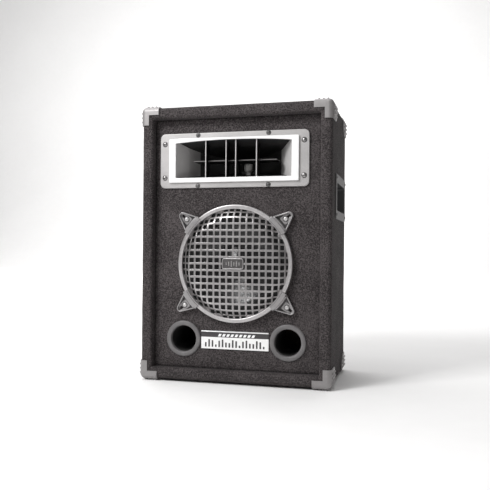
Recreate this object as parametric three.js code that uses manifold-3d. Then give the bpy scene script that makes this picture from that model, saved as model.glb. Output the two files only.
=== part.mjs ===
// A carpet-covered two-way PA speaker cabinet, in millimetres.
// The origin is the middle of the base, on the ground. +Z is up, -Y is the front and +X is the
// right-hand side as the front is looked at.
import * as THREE from "three";
import { RoundedBoxGeometry } from "three/addons/geometries/RoundedBoxGeometry.js";
import { mergeVertices } from "three/addons/utils/BufferGeometryUtils.js";
import Module from "manifold-3d";

// ---------------------------------------------------------------- driving dimensions
const CABINET = { width: 336, depth: 204, height: 476, edgeRadius: 7 }; // over the carpet
const BOARD = 15; // thickness of every wooden panel
const CARPET = 2.5;
const RECESS = 17; // from the front rim to the carpeted face of the baffle
const GAP = 0.3; // clearance between two pieces that touch

const PROTECTOR = {
  plate: 2,
  legLength: 31,
  legWidth: 13,
  depthLength: 50,
  farWidth: 16,
  shoulder: 36, // depth at which the plate starts to narrow
  ribHeight: 1.8,
  ribWidth: 3.4,
  ribOffsets: [8.5, 16, 23.5],
  ribStart: 5,
  ribEnds: [44, 44, 39],
};

const HORN = {
  x: -5.3,
  z: 383, // centre, above the carpeted base
  width: 266.6,
  height: 96.2,
  cornerRadius: 9,
  flangeDepth: 3.2,
  wall: 2.5,
  // inside of the bell: depth behind the flange face, width, height
  bell: [
    [0, 207, 70],
    [25, 176, 53],
    [50, 152, 45],
    [75, 96, 34],
    [100, 40, 27],
    [112, 28, 26],
  ],
};
// the bezel's opening is straight-sided, and its top edge rises by `arch` in the middle
const BEZEL = { width: 232, height: 77, depth: 3.4, openWidth: 207, openHeight: 61, arch: 4.4 };
const VANES = { offsets: [-49.3, -12.4, 5, 41.8], thickness: 2, depth: 20, clearance: 0.4 };
const DIVIDER = { thickness: 2, halfWidth: 75, from: 12, to: 48 };
const LAMP = {
  x: 19.3,
  depth: 34,
  floor: -24.1, // foot of the collar, from the horn's centre
  radius: 8,
  height: 16.5,
  collarRadius: 4.5,
  collarHeight: 4,
};
const HORN_DRIVER = { radius: 26, length: 27, throat: 13, chamber: 20 };

const WOOFER = { z: 203.2, hole: 92, ringRadius: 101.6, ringInner: 94.3, ringFront: 10 };
const BASKET = { flangeRadius: 100, metal: 1.6, depth: 48 };
const CONE = { edge: 71, neckDepth: 22, coilRadius: 19, capRadius: 29 };
const MAGNET = { plate: 6, plateRadius: 48, ring: 18, ringRadius: 55 };
const GRILLE = {
  pitch: 11.5,
  hole: 8,
  thickness: 1.2,
  holeReach: 90.5,
  flat: 79, // radius at which the shoulder starts
  crown: 2.2, // fall from the middle to the shoulder
  foot: 92.3, // radius at which the shoulder meets the rim
  rimRadius: 99.5,
  rimDepth: 4.8, // the rim's front, before the carpeted face of the baffle
  topDepth: 0.5, // the middle's front, before the cabinet's front
};
const BADGE = { width: 38, height: 19, thickness: 1 };
const CLAMP = {
  angles: [41, 139, 219, 321.5],
  tipRadius: 132.4,
  tipRound: 6.4,
  halfBase: 18,
  height: 7.5,
  floor: 2.3,
  wall: 2.2,
  screwRadius: 117,
  slotWidth: 4.8,
  slotLength: 16,
};
const CLAMP_SCREW = { headRadius: 4.6, headHeight: 3, shankRadius: 2, length: 17 };

const PORT = { x: 93.2, z: 70.3, flangeRadius: 31.5, bore: 23, tube: 25.2, lip: 3, length: 92 };
const NAMEPLATE = { width: 120.6, height: 31.3, thickness: 1.8, z: 70.3, ridge: 2.2, ridgeRise: 1 };
const HANDLE = {
  y: 10,
  z: 320.5,
  width: 144,
  height: 78,
  cornerRadius: 6,
  flange: 2,
  mouthWidth: 118,
  mouthHeight: 48,
  floorWidth: 75,
  floorHeight: 45,
  depth: 30,
  wall: 2.5,
  fingerRise: 11,
};
const TERMINAL = {
  z: 150,
  width: 116,
  height: 86,
  mouthWidth: 92,
  mouthHeight: 62,
  depth: 22,
  wall: 2.2,
  flange: 1.7,
};
const LEVER = { x: [-30, -12], width: 9.4, height: 16, thickness: 4.5, pivotZ: 9, standOut: 10 };
const JACK = { x: 26, bore: 3.5, bushing: 5.4, nut: 8, body: 9, bodyLength: 24 };
const CROSSOVER = { y: 34, width: 112, depth: 76, thickness: 1.8 };
const LEAD_RADIUS = 2.4;
const WADDING = { halfWidth: 104, thickness: 22, from: 250, to: 445 };

// ---------------------------------------------------------------- derived places
const HALF_WIDTH = CABINET.width / 2;
const FRONT = -CABINET.depth / 2;
const BACK = CABINET.depth / 2;
const BASE = PROTECTOR.plate + PROTECTOR.ribHeight;
const TOP = BASE + CABINET.height;
const MIDDLE = (BASE + TOP) / 2;
const BOARD_X = HALF_WIDTH - CARPET;
const INNER_X = BOARD_X - BOARD;
const INNER_BASE = BASE + CARPET + BOARD;
const INNER_TOP = TOP - CARPET - BOARD;
const FACE = FRONT + RECESS; // carpeted face of the baffle
const BAFFLE_FRONT = FACE + CARPET;
const BAFFLE_BACK = BAFFLE_FRONT + BOARD;
const BACK_PANEL_FRONT = BACK - CARPET - BOARD;
const RING_FRONT = FACE - WOOFER.ringFront;
const GRILLE_TOP = FRONT - GRILLE.topDepth;
const GRILLE_RIM = FACE - GRILLE.rimDepth;
const CUP_FLOOR = BACK + GAP - TERMINAL.depth; // the floor of the rear input's cup

// ---------------------------------------------------------------- materials
function finish(color, roughness, metalness = 0) {
  return new THREE.MeshStandardMaterial({ color, roughness, metalness });
}
const wood = finish(0x4a3c2e, 0.85);
const carpet = finish(0x3f3c3e, 1);
const wadding = finish(0xe4e2da, 1);
const silverPlastic = finish(0xc9c9c9, 0.35, 0.5);
const chrome = finish(0xf2f2f2, 0.1, 1);
const blackPlastic = finish(0x17171a, 0.5);
const greyPlastic = finish(0x6e6d70, 0.55);
const paintedSteel = finish(0x2c2d30, 0.45, 0.6);
const ringSteel = finish(0xa8a6a8, 0.4, 0.7);
const protectorSteel = finish(0xaaa8a8, 0.4, 0.8);
const platedSteel = finish(0xc4c4c8, 0.25, 1);
const paper = finish(0x232326, 0.8);
const rubber = finish(0x141416, 0.7);
const linen = finish(0xb98f45, 0.9);
const copper = finish(0xb0672f, 0.35, 0.9);
const ferrite = finish(0x2b2b2d, 0.7, 0.1);
const clearGlass = finish(0xd8d8d8, 0.05);
const white = finish(0xf4f3f0, 0.4);
const red = finish(0xb01c1c, 0.4);
const circuitBoard = finish(0x7c5f2c, 0.7);
const film = finish(0xc8a035, 0.4);
const cable = finish(0x202022, 0.6);

// ---------------------------------------------------------------- shape helpers
const wasm = await Module();
wasm.setup();
const CURVE_STEPS = 3;
const ROUND_STEPS = 2;
const MERGE = 1e-3;

// Positions only, with each shared corner stored once.
function bareGeometry(geometry) {
  const bare = geometry.clone();
  bare.deleteAttribute("normal");
  bare.deleteAttribute("uv");
  return mergeVertices(bare, MERGE);
}

// A closed three.js geometry as a manifold-3d solid with its faces pointing out.
function solid(geometry) {
  const { index, attributes } = bareGeometry(geometry);
  const corners = [];
  for (let i = 0; i < index.count; i += 3) {
    const [a, b, c] = [0, 1, 2].map((k) => index.getX(i + k));
    if (a !== b && b !== c && c !== a) corners.push(a, b, c);
  }
  const closed = (triVerts) =>
    new wasm.Manifold(
      new wasm.Mesh({ numProp: 3, vertProperties: attributes.position.array, triVerts }),
    );
  const triVerts = Uint32Array.from(corners);
  const made = closed(triVerts);
  return made.volume() < 0 ? closed(triVerts.reverse()) : made;
}

function cut(body, ...tools) {
  return tools.reduce((left, tool) => left.subtract(tool), body);
}

function join(body, ...others) {
  return others.reduce((sum, other) => sum.add(other), body);
}

function block([x0, x1], [y0, y1], [z0, z1]) {
  const geometry = new THREE.BoxGeometry(x1 - x0, y1 - y0, z1 - z0);
  return solid(geometry.translate((x0 + x1) / 2, (y0 + y1) / 2, (z0 + z1) / 2));
}

// The cabinet's outline, grown by `grow` on every side, centred on the cabinet.
function roundedCabinet(grow, radius) {
  const { width, depth, height } = CABINET;
  const size = [width + 2 * grow, depth + 2 * grow, height + 2 * grow];
  return solid(new RoundedBoxGeometry(...size, ROUND_STEPS, radius));
}

// A profile of [radius, y] points turned about the Y axis, closed on itself.
function turned(profile, steps = 32) {
  const points = [...profile, profile[0]].map(([r, y]) => new THREE.Vector2(r, y));
  return solid(new THREE.LatheGeometry(points, steps));
}

// A shape drawn in X and Z, as thick as from y0 to y1.
function plate(shape, y0, y1, curveSegments = CURVE_STEPS) {
  const options = { depth: y1 - y0, bevelEnabled: false, curveSegments };
  return solid(new THREE.ExtrudeGeometry(shape, options).rotateX(Math.PI / 2).translate(0, y1, 0));
}

function polygon(points) {
  return new THREE.Shape(points.map(([a, b]) => new THREE.Vector2(a, b)));
}

// Turns an extruded drawing so that its X becomes Y, its Y becomes Z and its depth becomes X.
function sideways(geometry) {
  const axes = [[0, 1, 0], [0, 0, 1], [1, 0, 0]].map((axis) => new THREE.Vector3(...axis));
  return geometry.applyMatrix4(new THREE.Matrix4().makeBasis(...axes));
}

function roundedRect(width, height, radius, x = 0, z = 0) {
  const [w, h] = [width / 2 - radius, height / 2 - radius];
  const shape = new THREE.Shape();
  shape.absarc(x + w, z + h, radius, 0, Math.PI / 2);
  shape.absarc(x - w, z + h, radius, Math.PI / 2, Math.PI);
  shape.absarc(x - w, z - h, radius, Math.PI, 1.5 * Math.PI);
  shape.absarc(x + w, z - h, radius, 1.5 * Math.PI, 2 * Math.PI);
  return shape;
}

function disc(radius, x = 0, z = 0) {
  const shape = new THREE.Shape();
  shape.absarc(x, z, radius, 0, 2 * Math.PI);
  return shape;
}

// Part of a ring between two radii and two angles.
function sector(inner, outer, from, to) {
  const shape = new THREE.Shape();
  shape.absarc(0, 0, outer, from, to);
  shape.absarc(0, 0, inner, to, from, true);
  return shape;
}

// A closed solid through rectangular sections [y, width, height].
function loft(sections) {
  const corners = [[1, 1], [-1, 1], [-1, -1], [1, -1]];
  const points = sections.flatMap(([y, width, height]) =>
    corners.flatMap(([a, b]) => [(a * width) / 2, y, (b * height) / 2]),
  );
  const last = (sections.length - 1) * 4;
  const faces = [0, 1, 2, 0, 2, 3, last, last + 2, last + 1, last, last + 3, last + 2];
  for (let ring = 0; ring < last; ring += 4) {
    for (let i = 0; i < 4; i++) {
      const [a, b] = [ring + i, ring + ((i + 1) % 4)];
      faces.push(a, a + 4, b, b, a + 4, b + 4);
    }
  }
  const geometry = new THREE.BufferGeometry();
  geometry.setAttribute("position", new THREE.Float32BufferAttribute(points, 3));
  return solid(geometry.setIndex(faces));
}

// A round lead along a smooth curve through the points.
function lead(points) {
  const path = new THREE.CatmullRomCurve3(points.map((p) => new THREE.Vector3(...p)));
  const steps = Math.round(path.getLength() / (LEAD_RADIUS * 8));
  const options = { extrudePath: path, steps, bevelEnabled: false, curveSegments: 4 };
  return solid(new THREE.ExtrudeGeometry(disc(LEAD_RADIUS), options));
}

const speaker = new THREE.Group();

function groupAt(x, y, z, parent = speaker) {
  const group = new THREE.Group();
  group.position.set(x, y, z);
  parent.add(group);
  return group;
}

function addPiece(parent, name, shape, material) {
  const { vertProperties, triVerts } = shape.getMesh();
  const geometry = new THREE.BufferGeometry();
  geometry.setAttribute("position", new THREE.BufferAttribute(vertProperties, 3));
  geometry.setIndex(new THREE.BufferAttribute(triVerts, 1));
  geometry.computeVertexNormals();
  const mesh = new THREE.Mesh(geometry, material);
  mesh.name = name;
  parent.add(mesh);
  return mesh;
}

// ---------------------------------------------------------------- cabinet
function handleCutouts(clearance) {
  const { wall, mouthWidth, mouthHeight, y, z } = HANDLE;
  const along = mouthWidth / 2 + wall + clearance;
  const up = mouthHeight / 2 + wall + clearance;
  const across = [-2 * HALF_WIDTH, 2 * HALF_WIDTH];
  return block(across, [y - along, y + along], [BASE + z - up, BASE + z + up]);
}

function baffleCutouts() {
  const [y0, y1] = [FACE - 1, BAFFLE_BACK + 1];
  const [, mouthWidth, mouthHeight] = HORN.bell[0];
  const [across, up] = [mouthWidth, mouthHeight].map((size) => size / 2 + HORN.wall + 1);
  const hornZ = BASE + HORN.z;
  const hornHole = block([HORN.x - across, HORN.x + across], [y0, y1], [hornZ - up, hornZ + up]);
  const wooferHole = plate(disc(WOOFER.hole, 0, BASE + WOOFER.z), y0, y1, 16);
  const portHoles = [-1, 1].map((side) =>
    plate(disc(PORT.tube + 1, side * PORT.x, BASE + PORT.z), y0, y1, 10),
  );
  const screwHoles = CLAMP.angles.map((degrees) => {
    const angle = THREE.MathUtils.degToRad(degrees);
    const x = CLAMP.screwRadius * Math.cos(angle);
    const z = CLAMP.screwRadius * Math.sin(angle);
    return plate(disc(CLAMP_SCREW.shankRadius + GAP, x, BASE + WOOFER.z + z), y0, y1, 4);
  });
  return [hornHole, wooferHole, ...portHoles, ...screwHoles];
}

function terminalCutout() {
  const { mouthWidth, mouthHeight, wall, z } = TERMINAL;
  const [w, h] = [mouthWidth / 2 + wall + 0.5, mouthHeight / 2 + wall + 0.5];
  return block([-w, w], [BACK_PANEL_FRONT - 1, BACK + 1], [BASE + z - h, BASE + z + h]);
}

function makePanels() {
  const outline = roundedCabinet(-CARPET, CABINET.edgeRadius - CARPET).translate([0, 0, MIDDLE]);
  const depth = [FRONT + CARPET, BACK - CARPET];
  const height = [BASE + CARPET, TOP - CARPET];
  const inside = [GAP - INNER_X, INNER_X - GAP];
  const insideHeight = [INNER_BASE + GAP, INNER_TOP - GAP];
  const cutHandles = handleCutouts(0.5);
  const side = (x) => cut(outline.intersect(block(x, depth, height)), cutHandles);
  addPiece(speaker, "left_side_panel", side([-BOARD_X, -INNER_X]), wood);
  addPiece(speaker, "right_side_panel", side([INNER_X, BOARD_X]), wood);
  const across = (z) => outline.intersect(block(inside, depth, z));
  addPiece(speaker, "top_panel", across([INNER_TOP, TOP - CARPET]), wood);
  addPiece(speaker, "bottom_panel", across([BASE + CARPET, INNER_BASE]), wood);
  const baffle = block(inside, [BAFFLE_FRONT, BAFFLE_BACK], insideHeight);
  addPiece(speaker, "front_baffle", cut(baffle, ...baffleCutouts()), wood);
  const back = block(inside, [BACK_PANEL_FRONT, BACK - CARPET], insideHeight);
  addPiece(speaker, "back_panel", cut(back, terminalCutout()), wood);
}

function makeCarpets() {
  const outside = roundedCabinet(0, CABINET.edgeRadius).translate([0, 0, MIDDLE]);
  const boards = roundedCabinet(GAP - CARPET, CABINET.edgeRadius - CARPET).translate([0, 0, MIDDLE]);
  const rim = CARPET + BOARD;
  const opening = (inset, y) =>
    block([inset - HALF_WIDTH, HALF_WIDTH - inset], y, [BASE + inset, TOP - inset]);
  const frontOpening = opening(rim + CARPET, [FRONT - 1, FACE - GAP]);
  const wrap = cut(outside, boards, frontOpening, opening(rim, [BACK - 2 * CARPET, BACK + 1]));
  const lining = cut(opening(rim + GAP, [FRONT + CARPET / 2, FACE - GAP]), frontOpening);
  addPiece(speaker, "shell_carpet", cut(join(wrap, lining), handleCutouts(0.5)), carpet);

  const edge = rim + 2 * GAP;
  const front = cut(opening(edge, [FACE, BAFFLE_FRONT - GAP]), ...baffleCutouts());
  addPiece(speaker, "baffle_carpet", front, carpet);
  const rear = cut(opening(edge, [BACK - CARPET + GAP, BACK]), terminalCutout());
  addPiece(speaker, "back_carpet", rear, carpet);
}

function makeWadding() {
  const { halfWidth, thickness, from, to } = WADDING;
  const depth = [BACK_PANEL_FRONT - thickness, BACK_PANEL_FRONT - GAP];
  const shape = block([-halfWidth, halfWidth], depth, [BASE + from, BASE + to]);
  addPiece(speaker, "damping_wadding", shape, wadding);
}

// One corner protector for each of the eight corners, mirrored from the front top right one.
function protectorShape() {
  const { plate: thickness, legLength, legWidth, depthLength, farWidth, shoulder } = PROTECTOR;
  const { ribHeight, ribWidth, ribOffsets, ribStart, ribEnds } = PROTECTOR;
  const [halfDepth, halfHeight] = [CABINET.depth / 2, CABINET.height / 2];
  const beyond = 2 * thickness + ribHeight;
  const skin = cut(
    roundedCabinet(thickness, CABINET.edgeRadius + thickness),
    roundedCabinet(GAP, CABINET.edgeRadius + GAP),
  );
  // how far the plate reaches from the corner, against the depth behind the front
  const outline = [
    [-beyond, -beyond],
    [-beyond, legLength],
    [shoulder, legLength],
    [depthLength, farWidth],
    [depthLength, -beyond],
  ];
  const sideShape = polygon(outline.map(([y, z]) => [y - halfDepth, halfHeight - z]));
  const topShape = polygon(outline.map(([y, x]) => [HALF_WIDTH - x, y - halfDepth]));
  const options = { depth: legWidth + beyond, bevelEnabled: false };
  const flank = sideways(new THREE.ExtrudeGeometry(sideShape, options));
  flank.translate(HALF_WIDTH - legWidth, 0, 0);
  const lid = new THREE.ExtrudeGeometry(topShape, options);
  lid.translate(0, 0, halfHeight - legWidth);
  const corner = skin.intersect(join(solid(flank), solid(lid)));
  const ribs = ribOffsets.flatMap((offset, i) => {
    const along = [ribStart - halfDepth, ribEnds[i] - halfDepth];
    const across = (edge) => [edge - offset - ribWidth / 2, edge - offset + ribWidth / 2];
    const out = (edge) => [edge + GAP + 0.2, edge + thickness + ribHeight];
    return [
      block(out(HALF_WIDTH), along, across(halfHeight)),
      block(across(HALF_WIDTH), along, out(halfHeight)),
    ];
  });
  return join(corner, ...ribs);
}

function makeProtectors() {
  const shape = protectorShape();
  const centre = groupAt(0, 0, MIDDLE);
  for (const [vertical, sz] of [["top", 1], ["bottom", -1]]) {
    for (const [face, sy] of [["front", 1], ["back", -1]]) {
      for (const [side, sx] of [["left", -1], ["right", 1]]) {
        const mesh = addPiece(centre, `corner_${vertical}_${face}_${side}`, shape, protectorSteel);
        mesh.scale.set(sx, sy, sz);
      }
    }
  }
}

// ---------------------------------------------------------------- horn
// The inside of the bell, shrunk by `inset`, running out in front of the flange by `ahead`.
function bellSpace(inset, ahead = 0) {
  const face = FACE - GAP - HORN.flangeDepth;
  const rings = HORN.bell.map(([depth, w, h]) => [face + depth, w - 2 * inset, h - 2 * inset]);
  if (ahead) rings.unshift([face - ahead, rings[0][1], rings[0][2]]);
  return { face, solid: loft(rings) };
}

function archedOpening() {
  const [w, h] = [BEZEL.openWidth / 2, BEZEL.openHeight / 2];
  const shape = new THREE.Shape();
  shape.moveTo(-w, -h);
  shape.lineTo(w, -h);
  shape.lineTo(w, h);
  shape.quadraticCurveTo(0, h + 2 * BEZEL.arch, -w, h);
  return shape;
}

function makeHorn() {
  const horn = groupAt(HORN.x, 0, BASE + HORN.z);
  const inside = bellSpace(0, 5);
  const { face } = inside;
  const flange = plate(roundedRect(HORN.width, HORN.height, HORN.cornerRadius), face, FACE - GAP);
  const body = cut(join(flange, bellSpace(-HORN.wall).solid), inside.solid, openThroat(face));
  addPiece(horn, "horn_body", body, silverPlastic);

  const frame = roundedRect(BEZEL.width, BEZEL.height, 2);
  const bezel = cut(
    plate(frame, face - GAP - BEZEL.depth, face - GAP),
    plate(archedOpening(), face - 10, face + 1, 12),
  );
  addPiece(horn, "horn_bezel", bezel, chrome);

  const half = VANES.thickness / 2;
  const uprights = VANES.offsets.map((x) =>
    block([x - half, x + half], [face + GAP, face + VANES.depth], [-HORN.height, HORN.height]),
  );
  const shelf = block(
    [-DIVIDER.halfWidth, DIVIDER.halfWidth],
    [face + DIVIDER.from, face + DIVIDER.to],
    [-DIVIDER.thickness / 2, DIVIDER.thickness / 2],
  );
  const vanes = join(shelf, ...uprights).intersect(bellSpace(VANES.clearance).solid);
  addPiece(horn, "horn_vanes", vanes, silverPlastic);
  makeHornDriver(horn, face + HORN.bell.at(-1)[0] + GAP);
  makeLamp(horn, face + LAMP.depth);
}

function openThroat(face) {
  const [depth, w, h] = HORN.bell.at(-1);
  return block([-w / 2, w / 2], [face + depth - 5, face + depth + 5], [-h / 2, h / 2]);
}

function makeHornDriver(horn, start) {
  const { radius, length, throat, chamber } = HORN_DRIVER;
  const wall = 4;
  const housing = turned([
    [throat, start],
    [radius, start],
    [radius, start + length],
    [0, start + length],
    [0, start + length - wall],
    [chamber, start + length - wall],
    [chamber, start + wall],
    [throat, start + wall],
  ], 24);
  addPiece(horn, "horn_driver_housing", housing, blackPlastic);
  const middle = start + length / 2;
  const diaphragm = turned([
    [0, middle],
    [12, middle - 5],
    [17, middle - 5],
    [17, middle - 4],
    [12.4, middle - 4],
    [0, middle + 1.2],
  ], 24);
  addPiece(horn, "horn_diaphragm", diaphragm, paper);
}

// A small protection lamp that stands upright in the lower half of the bell.
function makeLamp(horn, y) {
  const { radius, height, collarRadius, collarHeight, x, floor } = LAMP;
  const upright = groupAt(x, y, floor, horn);
  upright.rotation.x = Math.PI / 2;
  const collar = turned([
    [0, 0],
    [collarRadius, 0],
    [collarRadius, collarHeight],
    [0, collarHeight],
  ], 20);
  addPiece(upright, "lamp_holder", collar, platedSteel);
  const foot = collarHeight + GAP;
  const bulb = turned([
    [0, foot],
    [collarRadius - 0.5, foot],
    [radius - 1, foot + 3.5],
    [radius, foot + 7],
    [radius, foot + 12],
    [radius * 0.7, foot + height - 1],
    [0, foot + height],
  ], 24);
  addPiece(upright, "lamp_bulb", bulb, clearGlass);
}

// ---------------------------------------------------------------- woofer
function makeWoofer() {
  const woofer = groupAt(0, 0, BASE + WOOFER.z);
  const seat = FACE - GAP; // back of the basket's flange
  const { flangeRadius, metal } = BASKET;
  const rear = seat + BASKET.depth;
  const shell = turned([
    [flangeRadius, seat - metal],
    [flangeRadius, seat],
    [91, seat],
    [88, seat + 13],
    [50, rear],
    [21, rear],
    [21, rear - metal],
    [49.3, rear - metal],
    [86.2, seat + 12.4],
    [88.5, seat - metal],
  ], 24);
  const windows = [0, 1, 2, 3].map((i) => {
    const start = (i * Math.PI) / 2 + Math.PI / 12;
    return plate(sector(53, 95, start, start + Math.PI / 3), seat + 14, rear - 3);
  });
  addPiece(woofer, "woofer_basket", cut(shell, ...windows), paintedSteel);

  const rim = seat - metal - GAP;
  const { edge, coilRadius, capRadius } = CONE;
  addPiece(woofer, "cone_surround", turned(surroundProfile(rim, edge), 28), rubber);
  const neck = seat + CONE.neckDepth;
  addPiece(woofer, "woofer_cone", turned([
    [edge - GAP, rim - 0.9],
    [edge - GAP, rim + 0.3],
    [50, seat + 8.6],
    [coilRadius + 1.2, neck],
    [coilRadius, neck],
    [coilRadius, neck - 1.2],
    [50, seat + 7.2],
  ], 28), paper);
  const capFoot = seat + 15.4;
  addPiece(woofer, "dust_cap", turned([
    [0, capFoot - 10],
    [14, capFoot - 7.6],
    [24, capFoot - 3],
    [capRadius, capFoot + 0.8],
    [capRadius - 1.2, capFoot + 1.2],
    [23, capFoot - 1.6],
    [13.5, capFoot - 6.2],
    [0, capFoot - 8.6],
  ], 24), paper);

  const plateFront = rear + GAP;
  const { plateRadius } = MAGNET;
  const plateBack = plateFront + MAGNET.plate;
  const magnetBack = plateBack + GAP + MAGNET.ring;
  const coilFront = neck + GAP;
  addPiece(woofer, "voice_coil", turned([
    [coilRadius, coilFront],
    [coilRadius, plateBack + 2],
    [coilRadius - 0.8, plateBack + 2],
    [coilRadius - 0.8, coilFront],
  ], 24), copper);
  addPiece(woofer, "spider", turned(spiderProfile(rear - 14, coilRadius + 0.4, 54), 16), linen);
  const topPlate = ring(coilRadius + 1, plateRadius, plateFront, plateBack);
  addPiece(woofer, "magnet_top_plate", topPlate, platedSteel);
  const magnet = ring(26, MAGNET.ringRadius, plateBack + GAP, magnetBack);
  addPiece(woofer, "magnet_ring", magnet, ferrite);
  const yoke = join(
    ring(0, plateRadius, magnetBack + GAP, magnetBack + MAGNET.plate),
    ring(0, coilRadius - 1.8, plateFront, magnetBack + MAGNET.plate),
  );
  addPiece(woofer, "pole_piece", yoke, platedSteel);
}

function ring(inner, outer, y0, y1) {
  return turned([[inner, y0], [outer, y0], [outer, y1], [inner, y1]], 24);
}

// A half roll of rubber between the cone's edge and the flat that is glued to the basket.
function surroundProfile(rim, coneEdge) {
  const [rollCentre, rollRadius, skin, steps] = [coneEdge + 6.5, 5.2, 0.8, 3];
  const arc = (radius, from, to) =>
    Array.from({ length: steps + 1 }, (_, i) => {
      const angle = from + ((to - from) * i) / steps;
      return [rollCentre + radius * Math.cos(angle), rim - 0.4 - radius * Math.sin(angle)];
    });
  return [
    [92, rim - skin],
    ...arc(rollRadius, 0, Math.PI),
    [coneEdge, rim - skin],
    [coneEdge, rim],
    ...arc(rollRadius - skin, Math.PI, 0),
    [92, rim],
  ];
}

// A corrugated disc: its two faces are the same wave, half a millimetre each side.
function spiderProfile(y, inner, outer) {
  const [waves, steps, height] = [2, 8, 1.6];
  const wave = Array.from({ length: steps + 1 }, (_, i) => [
    inner + ((outer - inner) * i) / steps,
    y + height * Math.sin((2 * Math.PI * waves * i) / steps),
  ]);
  return [...wave.map(([r, h]) => [r, h - 0.5]), ...wave.reverse().map(([r, h]) => [r, h + 0.5])];
}

// How far the grille stands behind its highest point, at a distance from the centre.
function grilleDrop(radius) {
  const { flat, foot, crown } = GRILLE;
  if (radius < flat) return crown * (radius / flat) ** 2;
  const t = Math.min(1, (radius - flat) / (foot - flat));
  return crown + (GRILLE_RIM - GRILLE_TOP - crown) * t ** 1.4;
}

// A domed sheet with a flat rim, pierced by rows of square holes.
function grilleShape() {
  const { pitch, hole, thickness, holeReach, flat, foot, rimRadius } = GRILLE;
  const radii = [0, flat, flat + 8, foot];
  const dome = radii.map((r) => [r, GRILLE_TOP + grilleDrop(r)]);
  const front = [...dome, [rimRadius, GRILLE_RIM]];
  const back = front.toReversed().map(([r, y]) => [r, y + thickness]);
  const half = hole / 2;
  const count = Math.floor(holeReach / pitch) + 1;
  const rows = Array.from({ length: 2 * count }, (_, i) => (i - count + 0.5) * pitch);
  const reach = (x, z) => Math.hypot(Math.abs(x) + half, Math.abs(z) + half);
  const holes = rows
    .flatMap((x) => rows.map((z) => [x, z]))
    .filter(([x, z]) => reach(x, z) < holeReach)
    .map(([x, z]) => block([x - half, x + half], [FRONT - 5, FACE], [z - half, z + half]));
  return cut(turned([...front, ...back], 16), join(...holes));
}

function makeGrille() {
  const centre = groupAt(0, 0, BASE + WOOFER.z);
  addPiece(centre, "woofer_grille", grilleShape(), ringSteel);

  const { ringRadius, ringInner } = WOOFER;
  const skirtInner = ringRadius - 1.2;
  addPiece(centre, "grille_ring", turned([
    [ringInner, RING_FRONT + 2.2],
    [ringInner + 2.4, RING_FRONT],
    [ringRadius - 2.4, RING_FRONT],
    [ringRadius, RING_FRONT + 2.2],
    [ringRadius, FACE - GAP],
    [skirtInner, FACE - GAP],
    [skirtInner, GRILLE_RIM - GAP],
    [ringInner, GRILLE_RIM - GAP],
  ], 40), ringSteel);

  const badgeBack = GRILLE_TOP - GAP;
  const outline = roundedRect(BADGE.width, BADGE.height, 4);
  const badge = plate(outline, badgeBack - BADGE.thickness, badgeBack);
  addPiece(centre, "grille_badge", badge, platedSteel);
}

// The outline of a clamp's ear, pointing along +X, its sides pulled in by `inset`.
function earShape(inset, from) {
  const { tipRadius, tipRound, halfBase } = CLAMP;
  const shape = new THREE.Shape();
  const lean = Math.atan2(halfBase - tipRound, tipRadius - tipRound - from);
  const round = tipRound - inset;
  shape.absarc(tipRadius - tipRound, 0, round, lean - Math.PI / 2, Math.PI / 2 - lean);
  shape.lineTo(from, halfBase - inset);
  shape.lineTo(from, inset - halfBase);
  return shape;
}

function clampShape() {
  const { height, floor, wall, halfBase, slotWidth, slotLength, tipRadius, tipRound } = CLAMP;
  const back = FACE - GAP;
  const outerWall = WOOFER.ringRadius + GAP;
  const keepOut = plate(disc(outerWall), back - 40, back + 1, 24);
  const spread = Math.asin(halfBase / outerWall);
  const ear = plate(earShape(0, outerWall - 6), back - height, back);
  const dish = plate(earShape(wall, outerWall - 6), back - height - 1, back - floor);
  const dishLimit = plate(disc(outerWall + wall), back - 40, back + 1, 24);
  const lip = RING_FRONT - GAP;
  const uprightShape = sector(outerWall, outerWall + wall, -spread, spread);
  const upright = plate(uprightShape, lip - wall, back);
  const jawShape = sector(WOOFER.ringInner + 2, outerWall + wall, -spread, spread);
  const jaw = plate(jawShape, lip - wall, lip);
  const slotMiddle = tipRadius - tipRound + 2 - slotLength / 2;
  const slotShape = roundedRect(slotLength, slotWidth, slotWidth / 2 - 0.1, slotMiddle);
  const slot = plate(slotShape, back - floor - 1, back + 1);
  return join(cut(ear, cut(dish, dishLimit), keepOut, slot), upright, jaw);
}

function clampScrewShape() {
  const { headRadius, headHeight, shankRadius, length } = CLAMP_SCREW;
  const seat = FACE - GAP - CLAMP.floor - GAP;
  return turned([
    [0, seat - headHeight],
    [headRadius * 0.6, seat - headHeight + 0.4],
    [headRadius * 0.9, seat - headHeight + 1.4],
    [headRadius, seat],
    [shankRadius, seat],
    [shankRadius, seat + length],
    [0, seat + length + 2],
  ], 10);
}

function makeClamps() {
  const names = ["top_right", "top_left", "bottom_left", "bottom_right"];
  const clamp = clampShape();
  const screw = clampScrewShape().translate([CLAMP.screwRadius, 0, 0]);
  CLAMP.angles.forEach((degrees, i) => {
    const turn = groupAt(0, 0, BASE + WOOFER.z);
    turn.rotation.y = -THREE.MathUtils.degToRad(degrees);
    addPiece(turn, `grille_clamp_${names[i]}`, clamp, greyPlastic);
    addPiece(turn, `clamp_screw_${names[i]}`, screw, platedSteel);
  });
}

// ---------------------------------------------------------------- ports, nameplate, handles
function makePorts() {
  const { flangeRadius, bore, tube, lip, length } = PORT;
  const back = FACE - GAP;
  const shape = turned([
    [bore, back],
    [bore + 1.2, back - lip + 1],
    [bore + 3.4, back - lip],
    [flangeRadius - 2, back - lip + 0.4],
    [flangeRadius, back - lip + 1.6],
    [flangeRadius, back],
    [tube, back],
    [tube, back + length],
    [bore, back + length],
  ], 24);
  for (const [name, side] of [["left", -1], ["right", 1]]) {
    addPiece(groupAt(side * PORT.x, 0, BASE + PORT.z), `bass_port_${name}`, shape, greyPlastic);
  }
}

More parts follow.
